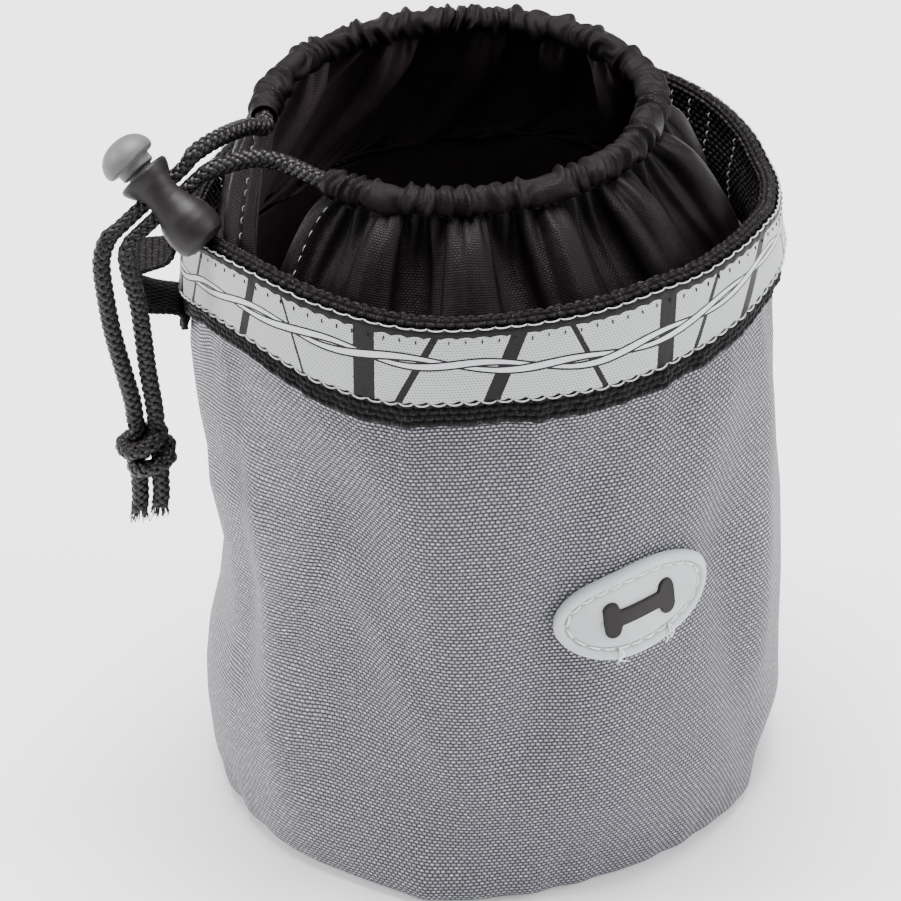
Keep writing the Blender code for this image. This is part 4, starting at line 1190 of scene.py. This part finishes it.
def soften(P, W, m, least, k):
    """Keeps folds round and wide, less so near the gathered edge."""
    d = P[:, m:] - P[:, :-m]
    L = np.sqrt(np.einsum("...i,...i->...", d, d)) + 1e-12
    free = smoothstep(1.0, 0.72, np.linspace(0, 1, len(P)))[:, None]
    c = (0.5 * k * free * np.minimum(L - least, 0) / L)[..., None] * d
    D = np.zeros_like(P)
    D[:, :-m] += c
    D[:, m:] -= c
    P += D * W[..., None] * 0.6


def finer(P):
    """The grid with a point added between each two."""
    def half(Q, axis):
        Q = np.moveaxis(Q, axis, 0)
        out = np.empty((2 * len(Q) - 1, *Q.shape[1:]))
        out[::2] = Q
        pad = np.concatenate([2 * Q[:1] - Q[1:2], Q, 2 * Q[-1:] - Q[-2:-1]])
        out[1::2] = (9 * (Q[:-1] + Q[1:]) - pad[:-3] - pad[3:]) / 16
        return np.moveaxis(out, 0, axis)
    return half(half(P, 0), 1)


COLLAR_U, COLLAR_V = 322.0 * MM, 35.5 * MM
SEWN = -1.75 * MM  # where the collar is sewn, below the channel's middle line
RUFFLES = 47


PLEATS = waves(np.random.default_rng(17), 6, 8, 15)
FULL = 3.4


def sewn_edge(u):
    """The collar's top edge, gathered into ruffles along the channel's seam."""
    a = SLIT_FROM + (SLIT_TO - SLIT_FROM) * u
    rng = np.random.default_rng(31)
    phase = TAU * RUFFLES * u + 2.6 * sum(np.sin(TAU * k * u + p) * s for k, p, s in zip((3, 7, 13, 19), rng.uniform(0, TAU, 4), (1.0, 0.8, 0.5, 0.35)))
    deep = 0.8 + 0.3 * np.sin(TAU * 9 * u + 1.3) * np.sin(TAU * 4 * u)
    wave = deep * np.sin(phase) * smoothstep(0, 0.02, u) * (1 - smoothstep(0.98, 1, u))
    p = ring(a, 0, SEWN)
    out = np.stack([np.cos(a), np.sin(a), 0 * a], -1)
    return p + out * (0.35 + wave)[:, None] * MM


def collar_start(u, v):
    open_by = np.maximum(0.0, (v - 0.5) / 0.5) ** 1.3
    low = SLIT_LOW + math.radians(0.5)
    a0 = low + (SLIT_FROM - low) * open_by
    a1 = SLIT_LOW + TAU - math.radians(0.5)
    a1 = a1 + (SLIT_TO - a1) * open_by
    a = a0 + (a1 - a0) * u
    folds = FULL * wave_sum(PLEATS, a + (v - 0.5) * 0.3)
    r = (44.6 + np.clip(0.62 * folds, -3.4, 1.8)) * MM
    foot = np.stack([r * np.cos(a), r * np.sin(a), np.full_like(a, 100.5 * MM)], -1)
    head = ring(a, 0, SEWN)
    k = (v**2.0)[..., None]
    p = foot + (head - foot) * k
    p[..., 2] = foot[..., 2] + (head[..., 2] - foot[..., 2]) * v
    out = np.stack([np.cos(a), np.sin(a), 0 * a], -1)
    bulb = np.sin(math.pi * np.clip(v, 0, 1)) ** 0.8
    return p + out * (folds * bulb)[..., None] * MM, a


def collar():
    nu, nv = 145, 17
    u, v = np.linspace(0, 1, nu), np.linspace(0, 1, nv)
    P, A = collar_start(*np.meshgrid(u, v))
    rng = np.random.default_rng(17)
    fine = waves(rng, 8, 22, 40)
    out = np.stack([np.cos(A), np.sin(A), 0 * A], -1)
    bulb = np.sin(math.pi * np.clip(v, 0, 1)) ** 0.8
    P += out * (0.8 * wave_sum(fine, A) * (v * bulb)[:, None])[..., None] * MM

    def hold(P):
        r = np.hypot(P[..., 0], P[..., 1])
        t = np.arctan2(P[..., 1], P[..., 0])
        z = P[..., 2] / MM
        drawn_in = 6.5 * np.exp(-(((np.degrees(t) - 22) / 24) ** 2)) * smoothstep(101, 112, z)
        most = (46.75 + lean(t, np.clip(z, 0, 118)) + 1.4 * smoothstep(117.5, 121.0, z) - drawn_in) * MM
        k = np.minimum(1.0, most / r)
        P[..., 0] *= k
        P[..., 1] *= k
        P[..., 2] = np.maximum(P[..., 2], 100.3 * MM)
        dx, dy = P[..., 0] - RING_X, P[..., 1] - RING_Y
        rr = np.hypot(dx, dy)
        inside = (rr < 31.0 * MM) & (z < 126)
        k = np.where(inside, 31.0 * MM / np.maximum(rr, 1e-6), 1.0)
        P[..., 0] = RING_X + dx * k
        P[..., 1] = RING_Y + dy * k

    def push(P, q):
        r = np.hypot(P[..., 0], P[..., 1])
        f = np.zeros_like(P)
        f[..., 2] = -0.000012
        f[..., 0] = P[..., 0] / r * 0.00001
        f[..., 1] = P[..., 1] / r * 0.00001
        return f

    for level, rounds in enumerate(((130, 110, 60))):
        if level:
            P = finer(P)
            nv, nu = P.shape[:2]
            P += np.random.default_rng(50 + level).normal(0, 0.03 * MM, P.shape)
            u, v = np.linspace(0, 1, nu), np.linspace(0, 1, nv)
        W = np.ones((nv, nu))
        W[0] = W[-1] = 0
        foot, _ = collar_start(u, np.zeros_like(u))
        P[0] = foot
        P[-1] = sewn_edge(u)
        P = relax(P, W, COLLAR_U / (nu - 1), COLLAR_V / (nv - 1), rounds, hold, push)
    # a last smoothing of single points that stand out
    for _ in range(2):
        P[1:-1, 1:-1] = 0.6 * P[1:-1, 1:-1] + 0.1 * (P[:-2, 1:-1] + P[2:, 1:-1] + P[1:-1, :-2] + P[1:-1, 2:])
    N = normals(P)
    nv, nu = P.shape[:2]
    u_m, v_m = np.linspace(0, COLLAR_U, nu), np.linspace(0, COLLAR_V, nv)
    hem = smoothstep(3.4 * MM, 3.0 * MM, np.minimum(u_m, COLLAR_U - u_m))
    half = (0.14 + 0.16 * hem)[None, :, None] * MM
    low, high = P - N * half, P + N * half
    # one closed skin: across the outside, round the hem, back across the inside
    skin = np.concatenate([high, low[:, ::-1]], axis=1)
    # the inside's u starts at 1.0, so the taffeta gives it its painted light
    U = np.concatenate([u_m, 1.0 + u_m[::-1], [1.0]])
    o = rows_mesh("gathered_collar", skin, "taffeta", (U, v_m), True, False)
    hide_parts("liner_collar")
    items = []
    for u_at in (3.1 * MM, COLLAR_U - 3.1 * MM):
        i = int(round(u_at / COLLAR_U * (nu - 1)))
        j = 2.0
        while j < nv - 4:
            a = P[int(j), i]
            step = max(1, int(1.15 * MM / (COLLAR_V / (nv - 1))))
            b = P[min(nv - 1, int(j) + step), i]
            for side in (1, -1):
                items.append(((a + b) / 2 + N[int(j), i] * side * 0.3 * MM, b - a, N[int(j), i] * side, 1.25 * MM))
            j += 2.0 * MM / (COLLAR_V / (nv - 1))
    stitches("hem_stitches", items, 0.11 * MM, "hem")
    return P


CLOTH = collar()


def channel():
    """The hem that the cord runs in, drawn up into ruffles that run round it."""
    na, nb = 1300, 44
    q = np.linspace(0, 1, na)
    A = SLIT_FROM + (SLIT_TO - SLIT_FROM) * q
    b = np.arange(nb) / nb * TAU
    rng = np.random.default_rng(31)
    phase = TAU * RUFFLES * q + 2.6 * sum(np.sin(TAU * k * q + p) * s for k, p, s in zip((3, 7, 13, 19), rng.uniform(0, TAU, 4), (1.0, 0.8, 0.5, 0.35)))
    rng = np.random.default_rng(77)
    slant = sum(np.sin(TAU * k * q + p) for k, p in zip((5, 11, 17), rng.uniform(0, TAU, 3)))
    B, Q = np.meshgrid(b, q)
    ph = phase[:, None] + 0.9 * slant[:, None] * np.sin(B) + 0.8 * np.sin(2 * B + 5 * TAU * Q)
    sub = np.sin(2.13 * ph + 1.7 * np.cos(B) + 4 * Q)
    ridge = 1 - np.abs(np.sin(ph / 2)) ** 1.3 * 1.5
    patch = 0.7 + 0.3 * np.sin(TAU * 13 * Q + 2 * np.cos(B + 1.0)) * np.sin(TAU * 6 * Q + B)
    h = (0.78 * ridge * patch + 0.2 * sub + 0.12 * np.sin(TAU * 23 * Q + 3 * B)) * smoothstep(0, 0.012, Q) * (1 - smoothstep(0.988, 1, Q))
    r = (2.35 + h * (0.75 + 0.25 * np.abs(np.cos(B)))) * MM
    # flatter where it is sewn to the collar
    r *= 1 - 0.08 * smoothstep(0.3, 1.0, -np.sin(B))
    swing = 0.35 * MM * np.sin(phase * 0.5 + 1)[:, None]
    out = np.stack([np.cos(A), np.sin(A), 0 * A], -1)
    up = np.array((0, 0, 1.0))
    P = ring(A)[:, None] + out[:, None] * (np.cos(B) * r + 0.4 * swing)[..., None] + up * (np.sin(B) * r * 1.02 + 0.5 * swing)[..., None]
    # the two ends are turned in, and show the cloth's edge
    t = np.stack([-np.sin(A), np.cos(A), 0 * A], -1)
    first, last = [], []
    for depth, rr in ((-0.25, 2.25), (0.0, 2.05), (1.0, 1.95), (6.0, 1.9)):
        for end, store, sign in ((0, first, 1), (-1, last, -1)):
            c = ring(A[end]) + t[end] * sign * depth * MM
            store.append(c + (out[end] * np.cos(b)[:, None] + up * np.sin(b)[:, None]) * rr * MM)
    P = np.concatenate([np.array(first[::-1]), P, np.array(last)])
    s = np.concatenate([np.linspace(-6, 0, 4), q * 288.5, np.linspace(289, 295, 4)]) * MM
    o = rows_mesh("ruched_channel", P, "taffeta", (np.linspace(0, 17 * MM, nb + 1), s), True, False, flip=False)
    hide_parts("drawstring_channel")
    items = []
    for k in range(118):
        i = int((k + 0.5) / 118 * (na - 1))
        j = int(nb * 0.875)  # low on the outside
        p = P[4 + i, j]
        c = ring(A[i])
        items.append((p, t[i], p - c, 1.1 * MM))
    stitches("channel_stitches", items, 0.1 * MM, "dark")


channel()


# ------------------------------------------------------------------ the belt loop

LOOP_ANGLE = math.radians(184)


def belt_loop():
    """A strip of webbing sewn on the band and under it, standing off between."""
    upper = smooth_route([np.array((x, 0, z)) for x, z in ((53.6, 114.0), (53.65, 111.2), (54.8, 109.3), (57.3, 108.2), (59.7, 107.0), (60.6, 104.9))], 8)
    lower = smooth_route([np.array((x, 0, z)) for x, z in ((60.6, 102.3), (59.7, 100.3), (57.3, 99.3), (54.8, 98.9), (52.9, 98.5), (51.7, 97.7), (51.25, 96.2), (51.2, 95.0))], 8)
    line = np.array(upper + [np.array((60.6, 0, z)) for z in np.linspace(104.6, 102.6, 5)] + lower)
    line, s = resample(line, 0.175)
    n, nu = len(line), 92
    across = np.linspace(-6.5, 6.5, nu)
    t = np.gradient(line, axis=0)
    t /= np.linalg.norm(t, axis=1)[:, None]
    out = np.stack([-t[:, 2], 0 * t[:, 0], t[:, 0]], -1)
    out *= np.sign(np.sum(out * (line - np.array((50.0, 0, 103.6))), axis=1))[:, None]
    row = np.floor(s / 1.05)
    rib = np.sin(math.pi * (s / 1.05 - row))[:, None] ** 0.7
    bead = np.abs(np.sin(math.pi * (across[None, :] / 1.45 + 0.5 * (row[:, None] % 2)))) ** 0.6
    edge = smoothstep(6.5, 6.1, np.abs(across))[None, :]
    half = 0.36 + 0.26 * rib * (0.35 + 0.65 * bead) * edge
    base = line[:, None] + np.zeros((n, nu, 3))
    bow = 0.25 * (1 - (across / 6.5) ** 2)[None, :] * smoothstep(54, 59, line[:, 0])[:, None]
    base = base + out[:, None] * bow[..., None]
    base[..., 1] = across[None, :]
    front, back = base + out[:, None] * half[..., None], base - out[:, None] * half[..., None]
    P = np.concatenate([front, back[:, ::-1]], axis=1)
    c, sn = math.cos(LOOP_ANGLE), math.sin(LOOP_ANGLE)
    x, y = P[..., 0] * c - P[..., 1] * sn, P[..., 0] * sn + P[..., 1] * c
    theta, r, z = np.arctan2(y, x), np.hypot(x, y), P[..., 2]
    held = 1 - 0.5 * smoothstep(54.0, 60.0, P[..., 0])
    moved = wall(theta, z, r) / MM
    plain_at = np.stack([x, y, z], -1)
    P = plain_at + (moved - plain_at) * held[..., None]
    o = rows_mesh("webbing_loop", P * MM, "loop", (np.concatenate([across + 6.5, across[::-1] + 6.5, [0]]) * MM, s * MM), True, False)
    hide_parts("belt_loop")
    for name, x0, z0 in (("upper", 53.6 + 0.62, 112.7), ("lower", 51.2 + 0.62, 96.3)):
        items = []
        for k in range(20):
            yk = -4.8 + 9.6 * k / 19
            cx, cy = x0 * c - yk * sn, x0 * sn + yk * c
            th, rr = math.atan2(cy, cx), math.hypot(cx, cy)
            for way in (0.3, -0.3):
                p, al, up, nn = on_band(th, z0, rr)
                items.append((p, up + al * way, nn, 1.8 * MM))
        for zz in (z0 - 0.85, z0 + 0.85):
            for k in range(7):
                yk = -4.5 + 9.0 * k / 6
                cx, cy = x0 * c - yk * sn, x0 * sn + yk * c
                p, al, up, nn = on_band(math.atan2(cy, cx), zz, math.hypot(cx, cy))
                items.append((p, al, nn, 1.5 * MM))
        o = stitches(f"bartack_{name}", items, 0.14 * MM, "dark")
        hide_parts(f"loop_bartack_{name}")


belt_loop()


# ------------------------------------------------------------------ the badge

BADGE_ANGLE, BADGE_Z, BADGE_A, BADGE_B = math.radians(297.5), 58.6, 14.9, 8.3
BADGE_TILT = math.radians(4)


def on_wall(x, y, height):
    """A point of the badge's flat drawing, in mm, bent round the wall and raised by height."""
    c, s = math.cos(BADGE_TILT), math.sin(BADGE_TILT)
    x, y = np.asarray(x) * c - np.asarray(y) * s, np.asarray(x) * s + np.asarray(y) * c
    return wall(BADGE_ANGLE + x / 50.3, BADGE_Z + y, 50.3 + height)


def badge():
    n = 220
    a = angles(n)
    over = [(7.3, 1.42), (6.0, 1.45), (4.6, 1.46), (3.4, 1.47), (2.75, 1.46), (2.58, 1.40), (2.46, 1.22), (2.32, 1.1), (2.1, 1.07), (1.92, 1.12), (1.8, 1.28), (1.7, 1.52), (1.58, 1.72), (1.4, 1.86), (1.15, 1.94), (0.9, 1.95), (0.65, 1.92), (0.42, 1.84), (0.2, 1.66), (0.05, 1.42), (0.0, 1.1), (0.04, 0.6), (0.15, 0.25), (0.4, -0.1)]
    P = np.stack([on_wall((BADGE_A - sh) * np.cos(a), (BADGE_B - sh) * np.sin(a), h) for sh, h in over])
    hub = on_wall(np.linspace(0, 0, n), np.linspace(0, 0, n), 1.42)
    mids = [P[0] * (1 - k) + hub * k for k in (0.999, 0.66, 0.33)]
    P = np.concatenate([np.array(mids), P])
    bottom = [P[-1] * (1 - k) + on_wall(0 * a, 0 * a, 0.1) * k for k in (0.5, 0.999)]
    P = np.concatenate([P, np.array(bottom)])
    o = rows_mesh("badge_oval", P, "rubber", (np.linspace(0, 0.077, n + 1), np.arange(len(P)) * 0.5 * MM), True, False, flip=True)
    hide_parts("badge_plate")

    # a plain bone: a straight bar with two round knobs at each end
    length, waist, knob, spread_by = 13.4, 1.45, 1.42, 1.85
    half = length / 2 - knob

    def inside(x, y):
        bar = np.maximum(np.abs(x) - half, np.abs(y) - waist)
        tie = np.maximum(np.maximum(np.abs(x) - half - 0.55, half - 1.0 - np.abs(x)), np.abs(y) - spread_by)
        lobes = np.minimum(np.hypot(np.abs(x) - half, y - spread_by), np.hypot(np.abs(x) - half, y + spread_by)) - knob
        k = 0.16
        return -k * np.log(np.exp(-bar / k) + np.exp(-tie / k) + np.exp(-lobes / k))

    # its outline as even steps along x on both sides, so the narrow bar keeps straight edges
    xs = (length / 2 + 0.02) * np.sin(np.linspace(-math.pi / 2, math.pi / 2, 141))
    ys = np.linspace(0, 4.2, 1681)
    tops = np.array([ys[np.nonzero(inside(x, ys) < 0)[0][-1]] if (inside(x, ys) < 0).any() else 0.0 for x in xs])
    tops[1:-1] = 0.5 * tops[1:-1] + 0.25 * (tops[:-2] + tops[2:])
    rim_x = np.concatenate([xs, xs[::-1][1:-1]])
    rim_y = np.concatenate([-tops, tops[::-1][1:-1]])
    nx, ny = np.gradient(rim_y), -np.gradient(rim_x)
    size = np.hypot(nx, ny) + 1e-9
    nx, ny = nx / size, ny / size
    rows = []
    for share in (0.0, 0.3, 0.6, 0.85):
        rows.append(on_wall(rim_x, rim_y * share, 2.0))
    for inset, h in ((0.2, 2.0), (0.1, 1.97), (0.04, 1.9), (0.0, 1.78), (-0.03, 1.6), (-0.03, 1.38)):
        rows.append(on_wall(rim_x - nx * inset, rim_y - ny * inset, h))
    rows += [on_wall(rim_x, rim_y * k, 1.35) for k in (0.5, 0.0)]
    o = rows_mesh("bone", np.array(rows), "inlay", None, True, False, flip=True)
    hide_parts("badge_bone")

    # the ring of stitches in the groove
    items = []
    t = np.linspace(0, TAU, 2001)
    x, y = (BADGE_A - 2.12) * np.cos(t), (BADGE_B - 2.12) * np.sin(t)
    s = np.concatenate([[0], np.cumsum(np.hypot(np.diff(x), np.diff(y)))])
    count = 24
    for k in range(count):
        q = np.interp(s[-1] * (k + 0.5) / count, s, t)
        w = 0.5 * s[-1] / count / math.hypot((BADGE_A - 2.12) * math.sin(q), (BADGE_B - 2.12) * math.cos(q)) * 0.86
        a1, b1 = q - w, q + w
        p0 = on_wall((BADGE_A - 2.12) * math.cos(a1), (BADGE_B - 2.12) * math.sin(a1), 1.3)
        p1 = on_wall((BADGE_A - 2.12) * math.cos(b1), (BADGE_B - 2.12) * math.sin(b1), 1.3)
        out = on_wall(0, 0, 3) - on_wall(0, 0, 0)
        items.append(((p0 + p1) / 2, p1 - p0, out, float(np.linalg.norm(p1 - p0)) * 1.0))
    seam = stitches("badge_stitches", items, 0.19 * MM, "white", arch=0.5, sides=8, steps=7)
    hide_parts("badge_seam")
    # two loose ends of the thread at the badge's lower edge
    parts = []
    for x0, seed in ((-4.6, 1), (5.2, 2)):
        rng = np.random.default_rng(seed)
        for k in range(4):
            y0 = -math.sqrt(max(0, 1 - (x0 / (BADGE_A - 2.3)) ** 2)) * (BADGE_B - 2.3)
            pts = [on_wall(x0 + rng.uniform(-0.2, 0.2), y0, 1.5), on_wall(x0 + rng.uniform(-0.5, 0.5), y0 - 1.0, 2.3), on_wall(x0 + rng.uniform(-1.0, 0.9), y0 - 1.9, 2.2), on_wall(x0 + rng.uniform(-1.5, 1.1), y0 - 2.6 - rng.uniform(0, 0.8), 1.9)]
            parts.append(rod(np.array(smooth_route(pts, 4)), np.linspace(0.13, 0.07, 13) * MM, 6))
    join("badge_thread_ends", parts, "white")


badge()


# ------------------------------------------------------------------ the floor, and the end

floor_mesh = bpy.data.meshes.new("floor")
floor_mesh.from_pydata([(-3, -3, 0), (3, -3, 0), (3, 3, 0), (-3, 3, 0)], [], [(0, 1, 2, 3)])
floor = bpy.data.objects.new("floor", floor_mesh)
floor.location = (0, 0, 0)
k = Look("floor", 0.9)
tone = k.noise(k.object(), 3, 2, 0.5)
k.p.inputs["Emission Color"].default_value = (1, 1, 1, 1)
k.p.inputs["Emission Strength"].default_value = 0.3
floor_mesh.materials.append(k.finish(k.mix(tone, (0.90, 0.90, 0.905), (0.94, 0.94, 0.94))))
bpy.context.scene.collection.objects.link(floor)

bpy.context.view_layer.update()
